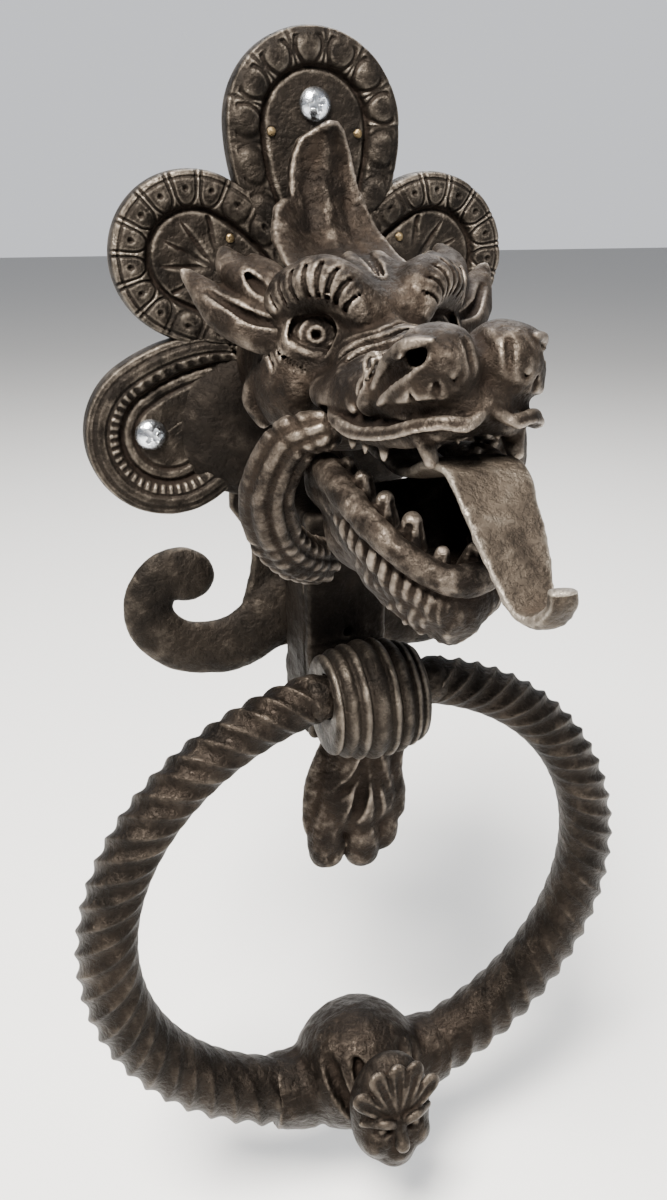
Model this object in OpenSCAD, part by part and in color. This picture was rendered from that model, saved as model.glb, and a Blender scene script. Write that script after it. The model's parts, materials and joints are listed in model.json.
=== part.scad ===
// Wrought-iron door knocker: a lobed backplate, a horned beast's head with an
// open mouth, and a rope-twisted ring hung in a rolled eye under its chin.
// Frame: origin at the centre of the three-screw circle on the plate's back
// face, +Z up, the door behind at +Y, the beast looking along -Y.

/* [Backplate] */
// Thickness of the plate at its edge
plate_t = 3; // [2:0.5:5]
// Radius of the circle that the three screws lie on
screw_circle_r = 57.2; // [54:0.2:58]
// Radius of the top lobe
top_lobe_r = 24.5; // [20:0.5:26]
// Radius of the two upper side lobes
upper_lobe_r = 22.4; // [18:0.2:23]
// Radius of the two lower side lobes
lower_lobe_r = 23.2; // [18:0.2:24]
// Height of a lobe's raised border above the back face
border_h = 7.2; // [5:0.2:9]
// Height of a lobe's inner disc above the back face
disc_h = 5.5; // [4:0.1:6]
// Thickness of the two scrolls below the plate
scroll_t = 4.5; // [3:0.5:6]

/* [Mounting screws] */
// Diameter of a screw's pan head
screw_head_d = 9; // [8:0.5:11]
// Diameter of the threaded shank behind the plate
screw_thread_d = 4.5; // [3.5:0.1:5]
// Length of the threaded shank behind the plate
screw_reach = 24; // [16:1:40]

/* [Head] */
// How far the upper lip stands in front of the door
muzzle_y = 118; // [112:0.5:124]
// Half width of the muzzle at the lips
muzzle_half_w = 20; // [18:0.5:22]
// Height of the curled crest's tip
crest_tip_z = 52; // [46:0.5:56]
// How far the ears spread to each side
ear_spread = 40; // [36:0.5:46]
// Half width of the tongue where it bends over the lip
tongue_half_w = 9; // [7:0.5:10]
// Thickness of the tongue
tongue_t = 3.4; // [2.4:0.2:4.4]

/* [Neck and eye] */
// Half width of the square neck
neck_half_w = 12; // [9:0.5:15]
// How far the neck stands in front of the door
neck_depth = 29; // [26:0.5:32]
// Outer radius of the rolled eye that holds the ring
eye_r = 17; // [15:0.5:19]
// Width of the rolled eye
eye_w = 28; // [24:1:34]

/* [Ring] */
// Radius of the ring's centre line
ring_r = 77.7; // [74:0.1:82]
// Bar radius where the ring enters the eye
bar_top_r = 7.1; // [6.2:0.1:8]
// Bar radius beside the boss
bar_bottom_r = 11.3; // [9:0.1:12]
// How far the ring leans back towards the door at rest, in degrees
ring_lean = 6; // [3:0.5:8]
// Radius of the ring's journals in the eye
journal_r = 6; // [4:0.1:6]
// Radius of the bulb at the bottom of the ring
boss_r = 21.5; // [20:0.5:24]

/* [Hidden] */

iron = [0.20, 0.18, 0.16];
worn_iron = [0.33, 0.30, 0.27];
dark_iron = [0.13, 0.12, 0.11];
zinc = [0.75, 0.78, 0.82];
brass = [0.65, 0.52, 0.30];

seat_gap = 0.1;         // between two pieces of one body that touch
running_gap = 0.05;     // round the journals in the eye
end_gap = 0.3;          // between the ring's shoulders and the eye's faces
fine = 64;              // facets of turned shapes
soft = 18;              // facets of the balls inside hulls
cut = 200;              // reach of a cutting block

// the front of the plain sheet and of the lobes' inner discs
sheet_y = -plate_t;
disc_y = -disc_h;

// the three screws, evenly spaced, one at the top
screw_spots = [for (k = [0:2]) [screw_circle_r * sin(120 * k), screw_circle_r * cos(120 * k)]];

// the lobes lie round the screws and move out with them, as [x, z, radius]
top_lobe_z = screw_circle_r - 5.2;
lower_lobe = [screw_spots[1][0] - 5.44, screw_spots[1][1] - 0.5];
upper_lobe = [screw_circle_r - 22.7, screw_circle_r - 38.7];
side_lobes = [[upper_lobe[0], upper_lobe[1], upper_lobe_r],
              [lower_lobe[0], lower_lobe[1], lower_lobe_r]];
web_r = screw_circle_r - 17.7;
screw_neck_r = screw_thread_d / 2 - 0.55;
screw_hole_r = screw_thread_d / 2 + 0.35;
screw_head_h = 2.8;
screw_point = 4;

// small rivets through the lobes, as [x, z], mirrored to both sides
rivet_spots = [upper_lobe + [-9.9, 4.8], [12.2, top_lobe_z - 1.8]];
rivet_r = 1.3;

// the head's round seat on the sheet and the two rivets behind it
base_z = -10;
base_r = 23;
seat_room = 4;          // clear ring round the head's foot, for the skull's swell
head_rivet_r = 3;
head_rivet_z = [base_z - 14, base_z + 14];

// the two second-layer petals beside the head
petal_x = 20.5;
petal_z = -28;
petal_r = 21;
petal_h = 8;

// neck and eye
neck_top_z = -50;
neck_bottom_z = -120;
eye_y = -neck_depth - seat_gap - eye_r;
eye_z = -99.8;
eye_rib_w = eye_w / 5;

// the hinge line of the ring, inside the eye and a little above its middle
hinge_y = eye_y - 4;
hinge_z = eye_z + 4.6;
bore_r = journal_r + running_gap;
journal_drop = 2;                 // hinge line below the circle's top
shoulder_w = 3.2;
shoulder_r = bar_top_r + 0.5;
shoulder_x = eye_w / 2 + end_gap;
bar_start = asin((shoulder_x + shoulder_w) / ring_r);
boss_half_w = boss_r + 5;
boss_end = 180 - asin(boss_half_w / ring_r);
bar_end = 180 - asin((boss_half_w + seat_gap) / ring_r);
boss_rise = 9.5;                  // bulb's middle above the bar's centre line
ring_bottom = 2 * ring_r - journal_drop;

// Draws a flat outline, given as X and Z, from the plane y = back forward by t
module flat(back, t) {
  translate([0, back, 0]) rotate([90, 0, 0]) linear_extrude(t) children();
}

// A round bar along -Y whose back end is at y = back, centred at x, z
module peg(x, back, z, r, len) {
  translate([x, back, z]) rotate([90, 0, 0]) cylinder(r = r, h = len, $fn = fine);
}

// A ball at a point, in both its places left and right when x isn't 0
module ball(p, r) {
  translate(p) sphere(r, $fn = soft);
  if (p[0] != 0) translate([-p[0], p[1], p[2]]) sphere(r, $fn = soft);
}

// A ball on one side only
module one_ball(p, r) {
  translate(p) sphere(r, $fn = soft);
}

module both_sides() {
  children();
  mirror([1, 0, 0]) children();
}

// ---------------------------------------------------------------- backplate

// A turned lobe: raised border, groove and inner disc, standing on the origin
module lobe(r) {
  rotate_extrude($fn = fine)
    polygon([[0, 0], [r, 0], [r, plate_t - 0.6], [r - 1, border_h - 2.2], [r - 3.2, border_h - 0.3],
             [r - 5, border_h], [r - 6.6, border_h - 0.6], [r - 8.2, disc_h - 0.4],
             [r - 9, disc_h - 1], [r - 10.2, disc_h - 1], [r - 11, disc_h], [0, disc_h]]);
}

// The right-hand scroll as a flat outline
scroll_c = [38.8, -82.6];
scroll_r = 20;
gap_c = scroll_c + [-4.3, 8.6];
gap_r = 13.7;
module scroll_outline() {
  difference() {
    translate(scroll_c) circle(scroll_r, $fn = fine);
    translate(gap_c) circle(gap_r, $fn = fine);
  }
  translate(scroll_c + [1.7, 10.1]) circle(6.6, $fn = fine);
  translate(scroll_c + [7, 10.3]) circle(6.4, $fn = fine);
}

// The stem between the scrolls, as a flat outline
module stem_outline() {
  polygon([[26, -30], [27.5, -53], [22.5, -60], [21, -67], [21.5, -74], [24, -83], [20, -100],
           [10, -99], [9, -122], [-9, -122], [-10, -99], [-20, -100], [-24, -83],
           [-21.5, -74], [-21, -67], [-22.5, -60], [-27.5, -53], [-26, -30]]);
}

module backplate() {
  color(iron) difference() {
    union() {
      flat(0, plate_t) circle(web_r, $fn = fine);
      flat(0, plate_t) stem_outline();
      flat(0, scroll_t) scroll_outline();
      flat(0, scroll_t) mirror([1, 0]) scroll_outline();
      translate([0, 0, top_lobe_z]) rotate([90, 0, 0]) lobe(top_lobe_r);
      for (l = side_lobes, side = [-1, 1])
        translate([side * l[0], 0, l[1]]) rotate([90, 0, 0]) lobe(l[2]);
    }
    peg(0, sheet_y, base_z, base_r + seat_room, cut);
    for (side = [-1, 1]) peg(side * petal_x, sheet_y, petal_z, petal_r + seat_gap, cut);
    for (s = screw_spots) peg(s[0], 1, s[1], screw_hole_r, border_h + 2);
    for (s = rivet_spots, side = [-1, 1]) peg(side * s[0], 1, s[1], rivet_r + seat_gap, border_h + 2);
    for (z = head_rivet_z) peg(0, 1, z, head_rivet_r + seat_gap, plate_t + 2);
  }
}

// The domed petal on the right, cut round the head's seat
module petal(side) {
  color(dark_iron) difference() {
    translate([side * petal_x, sheet_y - seat_gap, petal_z]) rotate([90, 0, 0])
      rotate_extrude($fn = fine)
        polygon([[0, 0], [petal_r, 0], [petal_r, petal_h - 4.5], [petal_r - 2, petal_h - 2],
                 [petal_r - 6, petal_h - 0.4], [0, petal_h]]);
    peg(0, 0, base_z, base_r + seat_room, cut);
    translate([side > 0 ? -cut + seat_gap : -seat_gap, -cut / 2, petal_z - cut / 2]) cube([cut, cut, cut]);
  }
}

// The riveted pins of the lobes, with round heads on the front
module lobe_rivets() {
  color(brass) for (s = rivet_spots, side = [-1, 1]) {
    peg(side * s[0], 0, s[1], rivet_r, disc_h + seat_gap);
    translate([side * s[0], disc_y - seat_gap, s[1]]) rotate([90, 0, 0])
      rotate_extrude($fn = fine) polygon([[0, 0], [1.9, 0], [1.7, 0.7], [1, 1.3], [0, 1.5]]);
  }
}

// Three pan-head screws; the thread behind the plate starts at the back face
module mount_screws() {
  color(zinc) for (s = screw_spots) {
    difference() {
      translate([s[0], disc_y - seat_gap, s[1]]) rotate([90, 0, 0])
        rotate_extrude($fn = fine)
          polygon([[0, 0], [screw_head_d / 2, 0], [screw_head_d / 2, 0.9], [screw_head_d / 2 - 0.7, 2],
                   [screw_head_d / 2 - 2, screw_head_h - 0.2], [0, screw_head_h]]);
      for (turn = [0, 90]) translate([s[0], disc_y - screw_head_h, s[1]]) rotate([0, turn + 20, 0])
        cube([4.6, 3, 1.1], center = true);
    }
    peg(s[0], 0, s[1], screw_neck_r, disc_h + seat_gap);
    peg(s[0], screw_reach, s[1], screw_thread_d / 2, screw_reach);
    translate([s[0], screw_reach, s[1]]) rotate([-90, 0, 0])
      cylinder(r1 = screw_thread_d / 2, r2 = 0.3, h = screw_point, $fn = fine);
  }
}

// Two rivets that hold the head's foot to the sheet, flush with the back face
module head_rivets() {
  color(dark_iron) for (z = head_rivet_z) peg(0, 0, z, head_rivet_r, plate_t);
}

// --------------------------------------------------------------------- head

lip_y = -muzzle_y;
eye_ball_y = -47;

// The skull on its round foot, grown by g on every side
module skull_form(g = 0) {
  hull() {
    peg(0, sheet_y - seat_gap, base_z, base_r + g, 3 + g);
    ball([0, -34, -6], 19 + g);
    ball([15, eye_ball_y, 1], 13 + g);
    ball([15, -48, -15], 12 + g);
  }
}

// The muzzle, the nose and the flared upper lip, grown by g on every side
module muzzle_form(g = 0) {
  hull() {
    ball([8, -62, 0], 11 + g);
    ball([14, -66, -11], 9 + g);
    ball([9, lip_y + 20, -1], 8 + g);
    ball([muzzle_half_w - 9, lip_y + 20, -6], 6 + g);
  }
  hull() {
    ball([6.5, lip_y + 11, 1.8], 8.4 + g);
    ball([muzzle_half_w - 10, lip_y + 13, -5], 6 + g);
  }
  hull() {
    ball([muzzle_half_w - 4, lip_y + 34, -10], 3 + g);
    ball([muzzle_half_w - 7, lip_y + 14, -9], 2.6 + g);
    ball([5, lip_y + 2.6, -8], 2.6 + g);
    ball([12, lip_y + 50, -9], 5 + g);
  }
}

// Upper teeth: one row each side and a longer tooth near the front
upper_teeth = [[17.5, lip_y + 30, 1.7, 5], [17, lip_y + 23, 1.7, 4.6], [15.5, lip_y + 16, 1.9, 4.6],
               [11.5, lip_y + 8.5, 2.8, 9]];

// The upper teeth, grown by g
module tooth_row(g) {
  for (t = upper_teeth, side = [-1, 1]) translate([side * t[0], t[1], -10 - t[3] - g])
    cylinder(r1 = 0.5 + g, r2 = t[2] + g, h = t[3] + g, $fn = soft);
}

module head_shell() {
  color(worn_iron) {
    difference() {
      union() {
        skull_form();
        muzzle_form();
      }
      for (side = [-1, 1]) hull() {
        one_ball([side * 14, lip_y + 7, 5], 3.4);
        one_ball([side * 19, lip_y + 17, -1], 1.6);
      }
    }
    tooth_row(0);
  }
}

// The tall crest that curls up from the forehead
crest_tip_y = -17;
module crest_leaf() {
  color(worn_iron) difference() {
    union() {
      hull() {
        ball([11, -47, 13], 3.5);
        ball([12, -37, 26], 2.2);
      }
      hull() {
        ball([12, -37, 26], 2.2);
        ball([8, -26, 39], 2);
      }
      hull() {
        ball([8, -26, 39], 2);
        ball([2.4, crest_tip_y, crest_tip_z - 2], 1.8);
      }
    }
    skull_form(seat_gap);
    muzzle_form(seat_gap);
  }
}

// One ear of two points, side is -1 for left and 1 for right
module ear(side) {
  color(worn_iron) difference() {
    union() {
      hull() {
        one_ball([side * 20, -44, 6], 6);
        one_ball([side * (ear_spread - 2), -26, 13], 2);
      }
      hull() {
        one_ball([side * 20, -42, 8], 5);
        one_ball([side * 28, -22, 18], 2);
      }
    }
    skull_form(seat_gap);
    crest_clear();
  }
}

// Room round the crest's foot
module crest_clear() {
  hull() {
    ball([11, -47, 13], 3.6);
    ball([12, -37, 26], 2.3);
  }
}

// The scooped lower jaw on its two arms, grown by g on every side
module jaw_form(g = 0) {
  hull() {
    ball([16, -66, -33], 6 + g);
    ball([17.5, -86, -29], 4.5 + g);
    ball([11.5, -105, -40], 4.5 + g);
    ball([4, -106.5, -46.5], 5 + g);
    ball([4, -88, -55], 7 + g);
    ball([8, -62, -44], 8 + g);
  }
}

module jaw_scoop() {
  hull() {
    ball([13.2, -87.3, -22.6], 5.6);
    ball([9.1, -101.7, -33.6], 4.7);
    ball([4.3, -79.2, -36.4], 4.1);
    ball([10.4, -97.1, -9.3], 6.2);
    ball([11.3, -71.6, -11.2], 6.3);
  }
}

// Lower teeth as [x, y, top z, radius, length]
lower_teeth = [[15, -91, -24.5, 2.2, 10], [12, -98.5, -30, 2.5, 11], [8, -103.5, -34, 2.8, 12]];
module lower_jaw() {
  color(iron) difference() {
    union() {
      difference() {
        jaw_form();
        jaw_scoop();
      }
      for (t = lower_teeth, side = [-1, 1]) translate([side * t[0], t[1], t[2] - t[4]])
        cylinder(r1 = t[3], r2 = t[3] * 0.6, h = t[4], $fn = soft);
    }
    skull_form(seat_gap);
    muzzle_form(seat_gap);
  }
}

// The ribbed fold that runs from the cheek round under the jaw to the neck
fold_path = [[19, -71, -17], [27, -65, -21], [30, -59, -33], [27, -53, -45], [19, -47, -55], [9, -40, -61]];
fold_r = [6, 7.6, 8.3, 8.3, 7.8, 7];
module cheek_fold(side) {
  color(iron) difference() {
    for (k = [0:len(fold_path) - 2]) hull() for (e = [k, k + 1])
      one_ball([side * fold_path[e][0], fold_path[e][1], fold_path[e][2]], fold_r[e]);
    skull_form(seat_gap);
    muzzle_form(seat_gap);
    tooth_row(seat_gap);
    jaw_form(seat_gap);
    neck_block(seat_gap);
    translate([side > 0 ? -cut + seat_gap : -seat_gap, -cut, -cut]) cube([cut, cut * 2, cut * 2]);
  }
}

// The flat tongue, from the throat over the chin to its upturned tip
tongue_path = [[-52, -22], [-84, -24], [-103, -19], [-113, -18.8], [-119, -22.5], [-127, -30.5],
               [-135.5, -40], [-142, -40], [-147.2, -32.5]];
tongue_w = [0.7, 0.85, 1, 1, 0.95, 0.8, 0.52, 0.4, 0.3];
module tongue_bar(k) {
  half_w = tongue_w[k] * tongue_half_w;
  translate([-half_w, tongue_path[k][0], tongue_path[k][1]]) rotate([0, 90, 0])
    cylinder(r = tongue_t / 2, h = 2 * half_w, $fn = soft);
}

module tongue() {
  color(worn_iron) difference() {
    for (k = [0:len(tongue_path) - 2]) hull() {
      tongue_bar(k);
      tongue_bar(k + 1);
    }
    skull_form(seat_gap);
    muzzle_form(seat_gap);
  }
}

// ------------------------------------------------------------ neck and eye

module neck_block(g = 0) {
  translate([-neck_half_w - g, -neck_depth - g, neck_bottom_z - g])
    cube([2 * (neck_half_w + g), neck_depth - plate_t - seat_gap + 2 * g, neck_top_z - neck_bottom_z + 2 * g]);
}

// The square neck, with the small blind hole above the eye
module neck_box() {
  color(iron) difference() {
    neck_block();
    peg(0, -neck_depth + 5, eye_z + 13.5, 1.3, 10);
  }
}

// The rolled eye with its five ribs and the bore for the ring's journals
module ring_eye() {
  rib = 1.4;
  color(worn_iron) difference() {
    translate([-eye_w / 2, eye_y, eye_z]) rotate([0, 90, 0]) rotate_extrude($fn = fine)
      polygon(concat([[0, 0]],
        [for (k = [0:4]) each [[eye_r - rib, k * eye_rib_w], [eye_r, (k + 0.3) * eye_rib_w],
                               [eye_r, (k + 0.7) * eye_rib_w]]],
        [[eye_r - rib, eye_w], [0, eye_w]]));
    translate([-cut / 2, hinge_y, hinge_z]) rotate([0, 90, 0]) cylinder(r = bore_r, h = cut, $fn = fine);
  }
}

// The leaf that hangs from the eye, ending in four round toes as [x, z, radius]
toes = [[-10.6, -152.5, 5.2], [-3.2, -156.3, 5.5], [4.8, -155, 5], [11.2, -147, 4.6]];
leaf_y = -34.5;
module leaf_drop() {
  color(iron) difference() {
    for (t = toes) hull() {
      one_ball([t[0], leaf_y, t[1]], t[2]);
      one_ball([t[0] * 0.45, leaf_y + 1, -128], 5);
      one_ball([t[0] * 0.5, leaf_y + 1, -112], 4.2);
    }
    translate([-cut / 2, eye_y, eye_z]) rotate([0, 90, 0]) cylinder(r = eye_r + seat_gap, h = cut, $fn = fine);
    neck_block(seat_gap);
  }
}

// --------------------------------------------------------------------- ring

// Places what is drawn with the hinge line on X and the ring hanging down
module hung() {
  translate([0, hinge_y, hinge_z]) rotate([ring_lean, 0, 0]) children();
}

bar_sides = 16;
bar_rings = 44;
// Middle, outward direction and radius of the right-hand bar at a turn of a degrees
function bar_mid(a) = [ring_r * sin(a), 0, journal_drop - ring_r + ring_r * cos(a)];
function bar_out(a) = [sin(a), 0, cos(a)];
function bar_radius(a) = bar_top_r + (bar_bottom_r - bar_top_r) * a / 180;
function bar_turn(k) = bar_start + (bar_end - bar_start) * k / bar_rings;
function bar_point(a, s) = bar_mid(a) + bar_radius(a) * (cos(s) * bar_out(a) + [0, sin(s), 0]);

// Number of the point at side s of ring k
function spot(k, s) = k * bar_sides + s % bar_sides;

// One half of the ring: the tapering bar, its shoulder and its journal
module half_ring() {
  polyhedron(
    points = [for (k = [0:bar_rings], s = [0:bar_sides - 1]) bar_point(bar_turn(k), s * 360 / bar_sides)],
    faces = concat(
      [[for (s = [bar_sides - 1:-1:0]) s]],
      [for (k = [0:bar_rings - 1], s = [0:bar_sides - 1]) [spot(k, s), spot(k, s + 1), spot(k + 1, s)]],
      [for (k = [0:bar_rings - 1], s = [0:bar_sides - 1]) [spot(k, s + 1), spot(k + 1, s + 1), spot(k + 1, s)]],
      [[for (s = [0:bar_sides - 1]) spot(bar_rings, s)]]));
  translate([shoulder_x, 0, 0]) rotate([0, 90, 0]) cylinder(r = shoulder_r, h = shoulder_w + 2, $fn = fine);
  translate([seat_gap, 0, 0]) rotate([0, 90, 0]) cylinder(r = journal_r, h = shoulder_x + 1, $fn = fine);
}

module ring_right() {
  color(iron) hung() half_ring();
}

module ring_left() {
  color(iron) hung() mirror([1, 0, 0]) half_ring();
}

boss_mid = [0, 0, boss_rise - ring_bottom];
boss_collar_r = bar_bottom_r + 1.2;
module boss_form(g = 0) {
  hull() {
    translate(boss_mid) sphere(boss_r + g, $fn = 40);
    both_sides() translate(bar_mid(boss_end)) rotate([0, boss_end - 180, 0])
      rotate([0, 90, 0]) cylinder(r = boss_collar_r + g, h = 0.01, $fn = 32);
  }
}

// The bulb that joins the two halves at the bottom
module ring_boss() {
  color(dark_iron) hung() boss_form();
}

// The small grotesque mask on the front of the bulb, a little to one side
mask_x = 3;
module mask_knob() {
  color(worn_iron) hung() difference() {
    hull() {
      translate(boss_mid + [mask_x + 0.5, -boss_r + 3, 13]) scale([1.3, 0.8, 0.75]) sphere(9, $fn = soft);
      translate(boss_mid + [mask_x, -boss_r - 0.5, -2]) scale([1.45, 0.9, 1]) sphere(9.5, $fn = soft);
      translate(boss_mid + [mask_x - 1, -boss_r + 2.5, -14.5]) scale([1.1, 0.9, 0.8]) sphere(9, $fn = soft);
    }
    boss_form(seat_gap);
  }
}

backplate();
petal(-1);  // petal_left
petal(1);  // petal_right
lobe_rivets();
mount_screws();
head_rivets();
head_shell();
crest_leaf();
ear(-1);  // ear_left
ear(1);  // ear_right
cheek_fold(-1);  // cheek_fold_left
cheek_fold(1);  // cheek_fold_right
lower_jaw();
tongue();
neck_box();
ring_eye();
leaf_drop();
ring_left();
ring_right();
ring_boss();
mask_knob();
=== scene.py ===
"""A forged door knocker: a beast's head on a lobed plate, with a twisted ring.

Shapes are given in millimetres in the part's own frame and turned into metres
when a mesh is made. Carved pieces are modelled as clay on a fine grid; pieces
that repeat or follow a path are made with Geometry Nodes.
"""
import json
import math
import bmesh
import bpy
import numpy as np
from mathutils import Matrix, Vector

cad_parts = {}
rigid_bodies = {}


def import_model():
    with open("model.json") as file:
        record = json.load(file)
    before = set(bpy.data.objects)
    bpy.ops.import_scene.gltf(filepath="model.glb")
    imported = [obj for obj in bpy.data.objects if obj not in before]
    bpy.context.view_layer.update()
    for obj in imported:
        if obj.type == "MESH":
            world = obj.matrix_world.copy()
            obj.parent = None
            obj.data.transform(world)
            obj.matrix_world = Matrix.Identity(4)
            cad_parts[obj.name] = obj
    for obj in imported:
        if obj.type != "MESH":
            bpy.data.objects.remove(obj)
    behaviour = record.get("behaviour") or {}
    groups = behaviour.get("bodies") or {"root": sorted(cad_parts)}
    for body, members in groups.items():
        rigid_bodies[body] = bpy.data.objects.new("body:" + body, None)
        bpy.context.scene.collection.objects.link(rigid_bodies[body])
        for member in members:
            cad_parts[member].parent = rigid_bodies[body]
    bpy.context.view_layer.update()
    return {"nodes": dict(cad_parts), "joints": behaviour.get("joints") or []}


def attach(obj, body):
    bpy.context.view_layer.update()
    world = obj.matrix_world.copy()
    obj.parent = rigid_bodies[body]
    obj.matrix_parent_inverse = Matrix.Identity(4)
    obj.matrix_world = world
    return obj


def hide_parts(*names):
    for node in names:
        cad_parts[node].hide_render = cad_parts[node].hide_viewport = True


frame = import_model()

MM = 0.001
PLATE, RING = "plate", "ring"
HINGE = Vector(frame["joints"][0]["pos_m"]) / MM      # on the ring's axis, in mm
RING_LEAN = math.radians(6)                           # how far the ring leans back at rest
SKIN = {}                                             # materials by name
MIRROR = Matrix.Scale(-1, 4, (1, 0, 0))               # swaps left and right
SCREW_CIRCLE = 57.2                                   # radius, in mm
LOBES = {"top": ("eggs", 0, 52, 24.5),                # ornament, middle in X and Z, radius
         "upper": ("scales", 34.5, 18.5, 22.4),
         "lower": ("rings", 44.1, -29.1, 23.2)}


# ------------------------------------------------------------------ clay

def smooth_least(a, b, k):
    """The lower of two distances, blended over the width k."""
    h = np.clip(0.5 + 0.5 * (b - a) / k, 0, 1)
    return b + (a - b) * h - k * h * (1 - h)


def turn_matrix(turn):
    """Rotation by degrees about X, then Y, then Z."""
    a, b, c = np.radians(turn)
    rx = np.array([[1, 0, 0], [0, math.cos(a), -math.sin(a)], [0, math.sin(a), math.cos(a)]])
    ry = np.array([[math.cos(b), 0, math.sin(b)], [0, 1, 0], [-math.sin(b), 0, math.cos(b)]])
    rz = np.array([[math.cos(c), -math.sin(c), 0], [math.sin(c), math.cos(c), 0], [0, 0, 1]])
    return rz @ ry @ rx


def ball(c, r, turn=None):
    """A ball, or an ellipsoid when r has three values, which turn can tilt."""
    r = np.ones(3) * r
    m = np.eye(3) if turn is None else turn_matrix(turn).T
    reach = r if turn is None else np.ones(3) * r.max()

    def distance(x, y, z):
        x, y, z = x - c[0], y - c[1], z - c[2]
        if turn is not None:
            x, y, z = (m[i, 0] * x + m[i, 1] * y + m[i, 2] * z for i in range(3))
        near = np.sqrt((x / r[0]) ** 2 + (y / r[1]) ** 2 + (z / r[2]) ** 2)
        slope = np.sqrt((x / r[0] ** 2) ** 2 + (y / r[1] ** 2) ** 2 + (z / r[2] ** 2) ** 2)
        return near * (near - 1) / np.maximum(slope, 1e-6)
    return distance, np.array(c) - reach, np.array(c) + reach


def stick(a, b, ra, rb, flat=None):
    """A round-ended stick from a to b; flat squeezes it along a direction by a factor."""
    a, b = np.array(a, float), np.array(b, float)
    along = b - a
    size = max(float(along @ along), 1e-9)

    def distance(x, y, z):
        px, py, pz = x - a[0], y - a[1], z - a[2]
        t = np.clip((px * along[0] + py * along[1] + pz * along[2]) / size, 0, 1)
        px, py, pz = px - t * along[0], py - t * along[1], pz - t * along[2]
        square = px ** 2 + py ** 2 + pz ** 2
        if flat is not None:
            n, factor = flat
            side = px * n[0] + py * n[1] + pz * n[2]
            square = square + (factor ** 2 - 1) * side ** 2
            return (np.sqrt(square) - (ra + t * (rb - ra))) / math.sqrt(factor)
        return np.sqrt(square) - (ra + t * (rb - ra))
    reach = max(ra, rb)
    return distance, np.minimum(a, b) - reach, np.maximum(a, b) + reach


def block(c, half, soft, turn=(0, 0, 0)):
    """A box with half sizes half and edges rounded by soft."""
    m = turn_matrix(turn).T
    h = np.array(half) - soft

    def distance(x, y, z):
        x, y, z = x - c[0], y - c[1], z - c[2]
        q = [abs(m[i, 0] * x + m[i, 1] * y + m[i, 2] * z) - h[i] for i in range(3)]
        out = np.sqrt(sum(np.maximum(v, 0) ** 2 for v in q))
        return out + np.minimum(np.maximum(np.maximum(q[0], q[1]), q[2]), 0) - soft
    reach = np.ones(3) * np.linalg.norm(half)
    return distance, np.array(c) - reach, np.array(c) + reach


def hoop(c, axis, big, small):
    """A ring of wire: radius big, wire radius small, round the direction axis."""
    n = np.array(axis, float) / np.linalg.norm(axis)

    def distance(x, y, z):
        x, y, z = x - c[0], y - c[1], z - c[2]
        up = x * n[0] + y * n[1] + z * n[2]
        flat = np.sqrt(np.maximum(x ** 2 + y ** 2 + z ** 2 - up ** 2, 0))
        return np.sqrt((flat - big) ** 2 + up ** 2) - small
    reach = np.ones(3) * (big + small)
    return distance, np.array(c) - reach, np.array(c) + reach


def bend(points, count=10):
    """A smooth path through points: count steps between each two (Catmull-Rom)."""
    p = np.array(points, float)
    p = np.vstack([2 * p[0] - p[1], p, 2 * p[-1] - p[-2]])
    out = []
    for i in range(1, len(p) - 2):
        for t in np.arange(count) / count:
            out.append(0.5 * (2 * p[i] + (p[i + 1] - p[i - 1]) * t
                              + (2 * p[i - 1] - 5 * p[i] + 4 * p[i + 1] - p[i + 2]) * t ** 2
                              + (3 * p[i] - p[i - 1] - 3 * p[i + 1] + p[i + 2]) * t ** 3))
    out.append(p[-2])
    return np.array(out)


class Clay:
    """Clay on an even grid of the given step. When mirrored, only x >= 0 is stored."""

    def __init__(self, low, high, step, mirrored=False):
        low = np.array(low, float)
        if mirrored:
            low[0] = 0
        self.low, self.step, self.mirrored = low, step, mirrored
        count = np.ceil((np.array(high) - low) / step).astype(int) + 1
        self.axes = [(low[i] + step * np.arange(count[i])).astype(np.float32) for i in range(3)]
        self.d = np.full(count, 30, np.float32)

    def stroke(self, shape, k, sign):
        distance, low, high = shape
        rim = k + 2 * self.step
        spans = []
        for i in range(3):
            a, b = np.searchsorted(self.axes[i], [low[i] - rim, high[i] + rim])
            spans.append(slice(max(a - 1, 0), b + 1))
        part = self.d[tuple(spans)]
        if not part.size:
            return
        x = self.axes[0][spans[0], None, None]
        y = self.axes[1][None, spans[1], None]
        z = self.axes[2][None, None, spans[2]]
        f = distance(x, y, z)
        if self.mirrored and low[0] < 0:
            f = smooth_least(f, distance(-x, y, z), max(k, 0.01))
        if sign > 0:
            self.d[tuple(spans)] = smooth_least(part, f, k)
        else:
            self.d[tuple(spans)] = -smooth_least(-part, f, k)

    def add(self, *shapes, k=1.0):
        for s in shapes:
            self.stroke(s, k, 1)

    def cut(self, *shapes, k=0.6):
        for s in shapes:
            self.stroke(s, k, -1)

    def strand(self, points, radii, k=1.0, flat=None, count=8, carve=False):
        """Lays, or carves, a tapering roll along a smooth path."""
        path = bend(points, count)
        radius = np.interp(np.linspace(0, 1, len(path)), np.linspace(0, 1, len(radii)), radii)
        for i in range(len(path) - 1):
            s = stick(path[i], path[i + 1], radius[i], radius[i + 1], flat)
            self.stroke(s, k, -1 if carve else 1)

    def grid(self):
        """The whole grid and its low corner, with the mirrored half put back."""
        if not self.mirrored:
            return self.d, self.low
        low = self.low.copy()
        low[0] = -self.axes[0][-1]
        return np.concatenate([self.d[:0:-1], self.d]), low


CORNERS = [(i, j, k) for i in (0, 1) for j in (0, 1) for k in (0, 1)]


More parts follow.
